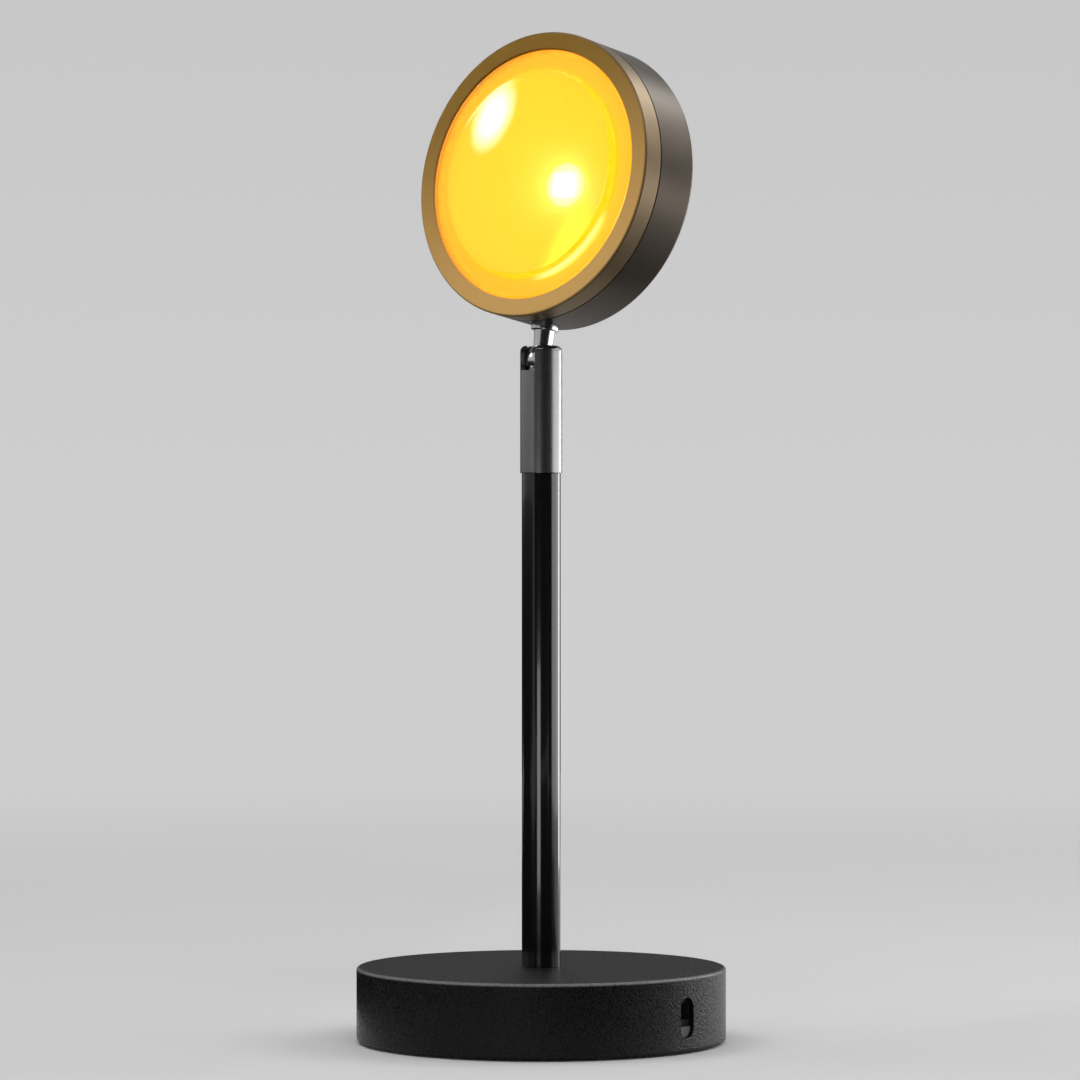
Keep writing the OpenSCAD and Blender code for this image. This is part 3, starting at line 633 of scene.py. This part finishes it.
# %% Emitter and its board
emitter = finish("emitter", Roughness=0.3, Emission_Strength=110.0)
die = emitter.cells(0.0008)
emitter_radius = emitter.on_head()[0]
die_edge, die_core = 0.0042, 0.0020
emitter_glow = emitter_radius.between(die_edge, die_core)
emitter.feed(
    Base_Color=emitter.tint(die, (0.95, 0.85, 0.35), (0.98, 0.90, 0.50)),
    Emission_Color=emitter.tint(emitter_glow, (0.04, 0.06, 0.70), (0.06, 0.09, 1.0)),
)
emitter.relief(die, 0.00001)

board_white = finish("led_board_white", Roughness=0.36, Emission_Strength=58.0)
ink_grain = board_white.noise(0.0006, detail=2.0)
spill_edge = 0.0130
spill = board_white.on_head()[0].between(spill_edge, 0.0)
board_white.feed(
    Base_Color=board_white.tint(ink_grain, (0.84, 0.84, 0.82), (0.90, 0.90, 0.89)),
    Emission_Color=board_white.tint(spill * spill, (0, 0, 0), (0.03, 0.05, 1.0)),
)
board_white.relief(ink_grain, 0.000006)

# %% [markdown]
# ## Finishes: what is inside
# Nobody sees these parts while the lamp is whole, but the part can be taken apart in the
# library, so each has the finish of its trade. The ballast is rough cast iron with a little
# rust, and the bottom plate is zinc plated, with the large flat flakes that zinc grows.

# %% Cast iron and zinc
iron = finish("cast_ballast", Metallic=0.85)
iron_pits = iron.noise(0.0009, detail=4.0, roughness=0.65)
iron_rust = iron.noise(0.012, detail=5.0, roughness=0.6).between(0.55, 0.75)
iron.paint(iron_rust, (0.20, 0.195, 0.19), (0.23, 0.17, 0.13), 0.50 + iron_pits * 0.25)
iron.relief(iron_pits, 0.00015)

zinc = finish("zinc_plate", Metallic=1.0)
zinc_flakes = zinc.cells(0.006).out("Color")
zinc_split = zinc.add("ShaderNodeSeparateXYZ", {}, {0: zinc_flakes})
zinc.paint(zinc_split, (0.52, 0.53, 0.56), (0.66, 0.67, 0.70), 0.26 + zinc_split * 0.14)
zinc.relief(zinc.noise(0.0006, detail=3.0), 0.00001)

# %% [markdown]
# Screws, nuts, washers and springs are plain steel with a slight stain. The journal that the
# sleeve turns on is brass, and its lathe lines run round the axis of the post.

# %% Steel and brass
screw = finish("screw_steel", Metallic=1.0)
screw_grain = screw.noise(0.0003, detail=3.0)
screw_stain = screw.noise(0.003, detail=3.0)
screw.paint(screw_stain, (0.50, 0.50, 0.52), (0.64, 0.64, 0.66), 0.22 + screw_grain * 0.2)
screw.relief(screw_grain, 0.00001)

brass = finish("turned_brass", Metallic=1.0)
brass_radius, brass_along = brass.turned()[:2]
brass_lines = brass.rings(brass_radius, brass_along, 0.00025)
brass_stain = brass.noise(0.005, detail=3.0)
brass.paint(brass_stain, (0.72, 0.53, 0.24), (0.82, 0.64, 0.33), 0.18 + brass_lines * 0.2)
brass.relief(brass_lines, 0.00001)

# %% [markdown]
# The heat spreader is milled aluminium and the inlet's shell is brushed steel. Both grains run
# one way, so the noise is stretched along one axis, on the head's own axes for the spreader.

# %% Milled and brushed sheet
spreader = finish("spreader_alu", Metallic=1.0)
milled = spreader.noise(0.0006, at=spreader.mapped(HEAD_MIDDLE, HEAD_TURN, (12, 1, 1)), detail=3.0)
spreader.paint(milled, (0.70, 0.71, 0.73), (0.82, 0.83, 0.85), 0.24 + milled * 0.16)
spreader.relief(milled, 0.00001)

inlet_metal = finish("inlet_steel", Metallic=1.0)
inlet_brush = inlet_metal.noise(0.0004, at=inlet_metal.mapped(scale=(1, 14, 1)), detail=3.0)
inlet_metal.paint(inlet_brush, (0.62, 0.62, 0.64), (0.76, 0.76, 0.78), 0.16 + inlet_brush * 0.14)
inlet_metal.relief(inlet_brush, 0.000006)

# %% [markdown]
# A circuit board is green lacquer over glass cloth, with raised tracks that a brick pattern can
# stand in for at this size.

# %% Circuit board
board = finish("circuit_board", Specular_IOR_Level=0.5, Coat_Weight=0.5, Coat_Roughness=0.2)
weave_cells = board.cells(0.0009, feature="SMOOTH_F1")
layout = {"offset": 0.35, "squash": 1.7, "squash_frequency": 3}
copper = {"Color1": (0, 0, 0), "Color2": (0.25, 0.25, 0.25), "Mortar": (1, 1, 1)}
copper |= {"Vector": board.place, "Scale": 260.0, "Mortar Size": 0.05}
tracks = board.add("ShaderNodeTexBrick", layout, copper)
track_mask = board.add("ShaderNodeSeparateXYZ", {}, {0: tracks})
board.paint(track_mask, (0.012, 0.11, 0.045), (0.035, 0.20, 0.085), 0.30 + weave_cells * 0.15)
board.relief(track_mask * 0.8 + weave_cells * 0.2, 0.00003)


# %% [markdown]
# Moulded and drawn plastics differ in tone, satin and grain, not in kind, so one function makes
# them all. Two near tones in broad clouds keep them from looking like flat paint.

# %% Plastics, gasket and leads
def moulded(name, low, high, rough, grain_size, depth):
    """A moulded or drawn material: two near tones, a satin level and a fine grain."""
    made = finish(name)
    fine = made.noise(grain_size, detail=2.0)
    broad = made.noise(grain_size * 14, detail=3.0)
    made.paint(broad, low, high, rough + fine * 0.10 + broad * 0.06)
    made.relief(fine, depth)


moulded("chip_black", (0.012, 0.012, 0.013), (0.024, 0.024, 0.025), 0.50, 0.0002, 0.00001)
moulded("plug_ivory", (0.74, 0.70, 0.58), (0.80, 0.77, 0.66), 0.38, 0.0004, 0.000008)
moulded("nylon", (0.83, 0.82, 0.78), (0.89, 0.88, 0.85), 0.42, 0.0005, 0.000006)
moulded("gasket_black", (0.010, 0.010, 0.010), (0.020, 0.020, 0.020), 0.62, 0.0004, 0.00002)
moulded("lead_red", (0.52, 0.018, 0.014), (0.62, 0.03, 0.022), 0.34, 0.0005, 0.000006)
moulded("lead_white", (0.74, 0.74, 0.71), (0.82, 0.82, 0.80), 0.36, 0.0005, 0.000006)

# %% [markdown]
# The switch's button is grey where the finger meets it. The block behind is matte black,
# partly its own plastic and partly painted shade, which keeps the slot looking deep above the
# button.

# %% Switch button's plastic
knob = finish("knob_grey")
knob_grain = knob.noise(0.0003, detail=2.0)
knob_tongue = knob.turned()[2].between((base_r - 1.4) * MM, (base_r - 1.1) * MM)
knob_tone = knob.tint(knob_grain, (0.060, 0.061, 0.063), (0.080, 0.081, 0.084))
knob.feed(
    # The block's near-black is partly painted shade in the slot behind the grey tongue.
    Base_Color=knob.tint(knob_tongue, (0.006, 0.006, 0.006), knob_tone),
    Roughness=0.90 - knob_tongue * 0.50 + knob_grain * 0.10,
)
knob.relief(knob_grain, 0.00001)

# %% [markdown]
# The foot is a sheet of closed foam with small cells and some dust. The pad behind the emitter's
# board is a filled silicone that takes the heat across, pale and a little fibrous.

# %% Foot foam and thermal pad
foam = finish("foot_foam", Specular_IOR_Level=0.3)
foam_cells = foam.cells(0.0007)
foam_dust = foam.noise(0.01, detail=4.0)
foam.paint(foam_dust, (0.014, 0.014, 0.015), (0.032, 0.032, 0.033), 0.78 + foam_cells * 0.12)
foam.relief(foam_cells, 0.00012)

pad = finish("pad_grey", Specular_IOR_Level=0.4)
pad_fibre = pad.noise(0.0005, at=pad.mapped(HEAD_MIDDLE, HEAD_TURN, (3, 1, 1)), detail=3.0)
pad.paint(pad_fibre, (0.30, 0.36, 0.42), (0.42, 0.47, 0.52), 0.60 + pad_fibre * 0.15)
pad.relief(pad_fibre, 0.00004)
print("finishes:", len(finishes))

# %% [markdown]
# ## Turning pieces
# Nearly every visible part is turned, so a half-section of a few points is spun once round an
# upright axis, as on a lathe. The edges of the section come out razor sharp, which no real part
# is, so chosen rings are then bevelled; the bevel's width is what makes an edge catch light.

# %% Turning and rounding
def arc(radius, start, end, steps, middle=0):
    """Section points on a circle round (0, middle), between two angles above the horizontal."""
    turns = [start + (end - start) * step / steps for step in range(steps + 1)]
    return [(radius * cos(turn), middle + radius * sin(turn)) for turn in turns]


def turn_section(points, steps):
    """Spins a half-section of (radius, height) points in millimetres round the Z axis."""
    mesh = bmesh.new()
    corners = [mesh.verts.new((radius * MM, 0, height * MM)) for radius, height in points]
    sides = [mesh.edges.new(pair) for pair in zip(corners, corners[1:])]
    if points[0][0] > 0 or points[-1][0] > 0:
        sides.append(mesh.edges.new((corners[-1], corners[0])))
    turn = {"cent": (0, 0, 0), "axis": (0, 0, 1), "angle": 2 * pi, "steps": steps}
    bmesh.ops.spin(mesh, geom=corners + sides, use_merge=True, **turn)
    bmesh.ops.remove_doubles(mesh, verts=mesh.verts, dist=1e-7)
    bmesh.ops.recalc_face_normals(mesh, faces=mesh.faces)
    return mesh


def soften(mesh, wanted, width, segments=3):
    """Bevels the edges that the test called wanted picks, by width millimetres."""
    bmesh.ops.bevel(
        mesh,
        geom=[edge for edge in mesh.edges if wanted(edge)],
        offset=width * MM,
        offset_type="OFFSET",
        segments=segments,
        profile=0.5,
        affect="EDGES",
        clamp_overlap=True,
        material=-1,
    )


def round_rings(mesh, rings, width, segments=3):
    """Bevels the rings at these (radius, height) places by width millimetres."""

    def on_ring(vertex, radius, height):
        out = hypot(vertex.co.x, vertex.co.y) / MM
        return abs(out - radius) < 1e-3 and abs(vertex.co.z / MM - height) < 1e-3

    def wanted(edge):
        return any(
            all(on_ring(vertex, radius, height) for vertex in edge.verts)
            for radius, height in rings
        )

    soften(mesh, wanted, width, segments)


# %% [markdown]
# ## Cutting
# Openings are cut with a tool of their own shape, as a mill does. A boolean is exact but leaves
# long thin faces, so it is used only where a piece isn't turned all the way round.

# %% Moving and cutting
def carry(mesh, matrix):
    """Moves, turns or stretches a whole mesh."""
    bmesh.ops.transform(mesh, matrix=matrix, verts=mesh.verts)


def cut(mesh, tool, operation="DIFFERENCE"):
    """Takes tool away from mesh, or joins it on, and returns the result as a new bmesh."""
    solids = []
    for part in (mesh, tool):
        data = bpy.data.meshes.new("cutting")
        part.to_mesh(data)
        part.free()
        solid = bpy.data.objects.new("cutting", data)
        bpy.context.scene.collection.objects.link(solid)
        solids.append(solid)
    boolean = solids[0].modifiers.new("cut", "BOOLEAN")
    boolean.operation, boolean.object, boolean.solver = operation, solids[1], "EXACT"
    bpy.context.view_layer.update()
    shown = solids[0].evaluated_get(bpy.context.evaluated_depsgraph_get())
    result = bmesh.new()
    result.from_mesh(shown.to_mesh())
    for solid in solids:
        bpy.data.meshes.remove(solid.data)
    return result


# %% [markdown]
# ## Showing a piece
# A finished mesh becomes a piece that rides on its body and stands in for its solid. Faces are
# shaded smooth, and edges sharper than the crease angle stay sharp, so flat ends stay flat.

# %% Showing a piece
def show(name, mesh, slot, body, *nodes, look=None, place=None, crease=32):
    """Makes a piece of a bmesh, with its finish, its body and the solids it stands for."""
    if place is not None:
        carry(mesh, place)
    for face in mesh.faces:
        face.smooth = True
    for edge in mesh.edges:
        edge.smooth = edge.calc_face_angle(0.0) < radians(crease)
    piece = to_object(name, mesh, finishes[look or slot])
    even = piece.modifiers.new("even_normals", "WEIGHTED_NORMAL")
    even.keep_sharp = True
    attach(piece, body)
    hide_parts(*nodes)
    print(name, "faces:", len(piece.data.polygons))


# %% [markdown]
# ## A tool for slots
# The switch's slot and the inlet's opening have round ends. Their tool is lofted through three
# rings of the same number of points: two make the straight part and the third, above the
# surface, is larger, so the tool leaves an even little lip all round the mouth.

# %% Slot tool
SLOT_STEPS = 48


def pill_tool(wide, high, depth, flare):
    """A prism with round ends that cuts a slot below z 0 and flares at its mouth."""
    mesh = bmesh.new()
    radius = min(wide, high) / 2
    rings = []
    for level, grow in ((-depth, 0), (-flare, 0), (flare + 0.5, 2 * flare + 0.5)):
        ring = []
        for step in range(SLOT_STEPS):
            turn = (step + 0.5) * 2 * pi / SLOT_STEPS
            across, up = cos(turn), sin(turn)
            x = (radius + grow) * across + copysign(wide / 2 - radius, across)
            y = (radius + grow) * up + copysign(high / 2 - radius, up)
            ring.append(mesh.verts.new((x * MM, y * MM, level * MM)))
        rings.append(ring)
    for low_ring, high_ring in zip(rings, rings[1:]):
        for step in range(SLOT_STEPS):
            mesh.faces.new(
                (low_ring[step - 1], low_ring[step], high_ring[step], high_ring[step - 1])
            )
    mesh.faces.new(rings[0])
    mesh.faces.new(rings[-1])
    bmesh.ops.recalc_face_normals(mesh, faces=mesh.faces)
    return mesh


# %% [markdown]
# ## The base
# The cover is a shallow spun cup with a small round on its top edge and another one below.
# The switch's slot and the power inlet's opening are cut through its side with tools that
# flare at the mouth, so that both openings get the slight lip that paint leaves.

# %% Base cover with its two openings
cover_bore, cover_roof, cover_hole, cover_lift = 46.3, 17.9, 4.15, 0.6
slot_z, slot_wide, slot_tall = 9.1, 5.1, 10.2
inlet_z, inlet_wide, inlet_tall = 6.98, 9.48, 3.70
lip_flare = 0.12

cover = turn_section(
    (
        (cover_hole, base_top), (base_r, base_top), (base_r, cover_lift),
        (cover_bore, cover_lift), (cover_bore, cover_roof), (cover_hole, cover_roof),
    ),
    192,
)
round_rings(cover, ((base_r, base_top),), 0.7, 6)
round_rings(cover, ((base_r, cover_lift),), 0.8, 5)
openings = (
    (slot_tall, slot_wide, (base_r - 0.05, 0, slot_z), (90, "Y")),
    (inlet_wide, inlet_tall, (0, base_r - 0.15, inlet_z), (-90, "X")),
)
for wide, tall, place, (turn, axis) in openings:
    tool = pill_tool(wide, tall, 3.0, lip_flare)
    carry(tool, Matrix.Translation(Vector(place) * MM) @ Matrix.Rotation(radians(turn), 4, axis))
    cover = cut(cover, tool)
show("base_shell", cover, "black_powder_coat", "base", "base_cover")

# %% [markdown]
# Under the base lies a foam pad, punched from a sheet, so its edge is square with a tiny round.

# %% Foot pad
pad_r, pad_t = 43.0, 1.2
foot = turn_section(((0, 0), (pad_r, 0), (pad_r, pad_t), (0, pad_t)), 128)
round_rings(foot, ((pad_r, 0),), 0.35, 3)
show("foot_disc", foot, "foot_foam", "base", "foot_pad")

# %% [markdown]
# ## The slide switch
# The button is a half-round tongue of dark plastic at the lower end of the slot. Its base is a
# block that slides in the switch's case; only the tongue with its rounded rim is seen.

# %% Switch button
block_size, block_at = (3.6, 5.4, 4.6), (44.1, 0, 6.3)
button_face, button_top, button_wide, button_low = 46.6, 6.9, 4.6, 4.25

button = bmesh.new()
bmesh.ops.create_cube(button, size=1.0)
bmesh.ops.scale(button, vec=Vector(block_size) * MM, verts=button.verts)
bmesh.ops.translate(button, vec=Vector(block_at) * MM, verts=button.verts)
tongue = pill_tool(2 * button_wide, button_wide, 1.7, 0.01)
middle = Vector((button_face, 0, button_low + button_wide)) * MM
carry(tongue, Matrix.Translation(middle) @ Matrix.Rotation(radians(90), 4, "Y"))
for at, facing in (((button_face, 0, 0), (1, 0, 0)), ((0, 0, button_top), (0, 0, 1))):
    trimmed = bmesh.ops.bisect_plane(
        tongue,
        geom=tongue.verts[:] + tongue.edges[:] + tongue.faces[:],
        plane_co=Vector(at) * MM,
        plane_no=facing,
        clear_outer=True,
    )
    rim = [item for item in trimmed["geom_cut"] if isinstance(item, bmesh.types.BMEdge)]
    bmesh.ops.edgeloop_fill(tongue, edges=rim)
bmesh.ops.recalc_face_normals(tongue, faces=tongue.faces)


def on_face(edge):
    """True for the edges of the tongue's front face."""
    return all(vert.co.x > (button_face - 0.01) * MM for vert in edge.verts)


soften(tongue, on_face, 0.3)
button = cut(button, tongue, "UNION")
show("switch_button", button, "knob_grey", "knob", "switch_knob")

# %% [markdown]
# ## The post and the sleeve
# The post is a plain drawn tube. Its ends are broken by a tiny round, because the light on a
# gloss tube would otherwise end in a ragged line.

# %% Post
post_bore = 4.2
post = turn_section(
    ((post_bore, base_top), (post_r, base_top), (post_r, post_top), (post_bore, post_top)), 96
)
round_rings(post, ((post_r, base_top), (post_r, post_top)), 0.12, 2)
show("post_pipe", post, "post_gloss_black", "base", "post_tube")

# %% [markdown]
# The sleeve on the post is turned, and its rim is well rounded. A slot is milled down its front
# so that the neck can fold forwards into it. Inside, the sleeve keeps the ball in a socket whose
# mouth is a little narrower than the ball. A real milled slot is deburred, so its edges get a
# tiny round that draws a bright line.

# %% Ball sleeve
socket_r, mouth_r = 4.1, 3.75
web_low, web_high, web_hole = 160.62, 162.22, 1.6
groove_low, groove_high, groove_r = 152.15, 153.05, 4.45
cut_floor, cut_wide = 172.6, 5.3

socket = arc(socket_r, acos(mouth_r / socket_r), 0, 6, ball_z)
sleeve = turn_section(
    [
        (socket_r, post_top), (sleeve_r, post_top), (sleeve_r, sleeve_top),
        (mouth_r, sleeve_top), *socket,
        (socket_r, web_high), (web_hole, web_high), (web_hole, web_low), (socket_r, web_low),
        (socket_r, groove_high), (groove_r, groove_high), (groove_r, groove_low),
        (socket_r, groove_low),
    ],
    96,
)
round_rings(sleeve, ((sleeve_r, sleeve_top),), 1.5, 8)
round_rings(sleeve, ((sleeve_r, post_top),), 0.15, 2)
slot_tool = bmesh.new()
bmesh.ops.create_cube(slot_tool, size=1.0)
carry(slot_tool, Matrix.Translation((0, -0.5, 0.5)))
carry(slot_tool, Matrix.Diagonal((cut_wide * MM, 7 * MM, 10 * MM, 1)))
carry(slot_tool, Matrix.Translation((0, 0, (cut_floor - ball_z) * MM)))
carry(slot_tool, ON_POST)
sleeve = cut(sleeve, slot_tool)


def on_milled_edge(edge):
    """True for the sharp outer edges that the milled slot leaves."""
    if edge.calc_face_angle(0.0) < radians(50):
        return False
    ends = [ON_POST.inverted() @ vert.co / MM for vert in edge.verts]
    outside = all(hypot(end.x, end.y) > socket_r + 0.2 for end in ends)
    sides = all(abs(abs(end.x) - cut_wide / 2) < 0.01 for end in ends)
    floor_line = all(abs(end.z - (cut_floor - ball_z)) < 0.01 for end in ends)
    return outside and (sides or floor_line) and all(end.y < 0 for end in ends)


soften(sleeve, on_milled_edge, 0.14)
show("ball_sleeve_turned", sleeve, "dark_nickel", "sleeve", "ball_sleeve")

# %% [markdown]
# ## The ball and neck
# Ball, cone and shank are one turned piece with a bore for the lead, and the collar above is a
# ring that clamps the head. Both are carried to the leaning place after they are turned.

# %% Ball and neck
lead_bore, shank_r, shank_end = 1.2, 2.0, 16.8
collar_r, collar_low, collar_top = 3.5, 7.7, 9.5
funnel_z = -2.95
cone_low_r, cone_high_r = 2.37, 2.65

ball = arc(ball_r, asin(funnel_z / ball_r), acos(cone_low_r / ball_r), 28)
stem = turn_section(
    [
        (lead_bore, -1.4), *ball, (cone_high_r, collar_low), (shank_r, collar_low),
        (shank_r, shank_end), (lead_bore, shank_end),
    ],
    72,
)
round_rings(stem, (ball[-1],), 0.3, 3)
show("ball_and_neck", stem, "bright_chrome", "neck", "ball_stem", place=ON_NECK)

collar = turn_section(
    (
        (shank_r + 0.05, collar_low), (collar_r, collar_low), (collar_r, collar_top),
        (shank_r + 0.05, collar_top),
    ),
    72,
)
round_rings(collar, ((collar_r, collar_low), (collar_r, collar_top)), 0.28, 4)
show("neck_ring", collar, "bright_chrome", "neck", "neck_collar", place=ON_NECK)

# %% [markdown]
# ## The head
# The head is two turned cups, the rear housing and the ring that holds the lens. The housing's
# back edge is bevelled and then rounded. The neck enters its side through a spot face, so the
# turned housing is joined to a boss and drilled from below.

# %% Rear housing
back_bevel, tongue_r, tongue_y = 0.8, 35.5, -9.4
stack_r, ledge_r, ledge_y, ledge_back = 34.2, 32.2, -8.0, -4.8
shell_bore, back_in = 35.6, 6.0
boss_r, boss_low, boss_top = 4.2, 9.8, 12.6
drill_low, drill_top, slip = 5.0, 14.0, 0.05

housing = turn_section(
    (
        (0, back_y), (head_r - back_bevel, back_y), (head_r, back_y - back_bevel),
        (head_r, part_y), (tongue_r, part_y), (tongue_r, tongue_y), (stack_r, tongue_y),
        (stack_r, ledge_y), (ledge_r, ledge_y), (ledge_r, ledge_back), (shell_bore, ledge_back),
        (shell_bore, back_in), (0, back_in),
    ),
    160,
)
round_rings(housing, ((head_r - back_bevel, back_y),), 0.2, 3)
round_rings(housing, ((head_r, back_y - back_bevel),), 0.5, 6)
round_rings(housing, ((head_r, part_y),), 0.16, 3)
carry(housing, ON_HEAD)
boss = turn_section(((0, boss_low), (boss_r, boss_low), (boss_r, boss_top), (0, boss_top)), 48)
carry(boss, ON_NECK)
drill = turn_section(
    (
        (0, drill_low), (collar_r + 0.15, drill_low), (collar_r + 0.15, collar_top),
        (shank_r + slip, collar_top), (shank_r + slip, drill_top), (0, drill_top),
    ),
    64,
)
carry(drill, ON_NECK)
housing = cut(cut(housing, boss, "UNION"), drill)
show("rear_shell", housing, "gunmetal", "head", "head_housing")

# %% [markdown]
# The ring is turned as well and has a narrow bevel at its front. It stops a hair short
# of the housing, because two turned parts never close without a line, and that shadow gap with
# its softened edges is what draws the parting line.

# %% Ring round the lens
edge_bevel, shadow_gap, bezel_bore, bezel_lip = 0.45, 0.26, 35.6, -11.7

bezel = turn_section(
    (
        (glass_r, front_y), (head_r - edge_bevel, front_y), (head_r, front_y + edge_bevel),
        (head_r, part_y - shadow_gap), (bezel_bore, part_y - shadow_gap),
        (bezel_bore, bezel_lip), (glass_r, bezel_lip),
    ),
    160,
)
round_rings(bezel, ((head_r - edge_bevel, front_y),), 0.10, 2)
round_rings(bezel, ((head_r, front_y + edge_bevel),), 0.22, 4)
round_rings(bezel, ((glass_r, front_y),), 0.25, 3)
round_rings(bezel, ((head_r, part_y - shadow_gap),), 0.16, 3)
show("front_ring", bezel, "gunmetal", "head", "front_bezel", look="champagne_lens_lit", place=ON_HEAD)

# %% [markdown]
# ## The lens
# The lens is one moulding: a flat rim, a shallow dish round the middle, a short step and a low
# dome. The dome is a slice of a large ball, so its half-section is worked out as an arc. The
# rim's edge and the step's top edge are softened, because a sharp corner chips and shows no line
# of light.

# %% Lens
lens_r, lens_back, lens_front, rim_r, rim_y = 35.2, -10.1, -11.7, 32.4, -12.3
dish_r, foot_r, foot_y, dome_edge, dome_rise = 29.0, 27.3, -12.9, -14.1, 2.7

dome_top = dome_edge - dome_rise
dome_ball = (dome_r**2 + dome_rise**2) / (2 * dome_rise)
dome_turn = asin(dome_r / dome_ball) - pi / 2
dome = [*arc(dome_ball, dome_turn, -pi / 2, 20, dome_top + dome_ball)[:-1], (0, dome_top)]
lens = turn_section(
    [
        (0, lens_back), (lens_r, lens_back), (lens_r, lens_front), (rim_r, lens_front),
        (rim_r, rim_y), (dish_r, rim_y), (dish_r - 0.5, rim_y + 0.03),
        (dish_r - 1.0, rim_y + 0.11), (foot_r + 0.4, rim_y + 0.20), (foot_r + 0.1, rim_y + 0.12),
        (foot_r, foot_y), (dome_r, dome_edge + 0.2), *dome,
    ],
    160,
)
round_rings(lens, ((rim_r, rim_y),), 0.25, 3)
round_rings(lens, ((dome_r, dome_edge + 0.2), dome[0]), 0.09, 2)
show("lens_amber", lens, "amber_glass", "head", "lens", place=ON_HEAD, crease=60)

# %% [markdown]
# ## The solids that stay
# The inner parts are right as they are, so each solid keeps its mesh and only gets the finish
# that its material slot names.

# %% Finishes for the solids that still show
dressed = 0
for name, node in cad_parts.items():
    if node.hide_render:
        continue
    slots = [slot.name.split(".")[0] for slot in node.data.materials]
    for index, slot in enumerate(slots):
        node.data.materials[index] = finishes[slot].material
        dressed += 1
print("solids dressed:", dressed)

# %% [markdown]
# ## Last update
# The scene is brought up to date once more.

# %% Bring the scene up to date
bpy.context.view_layer.update()
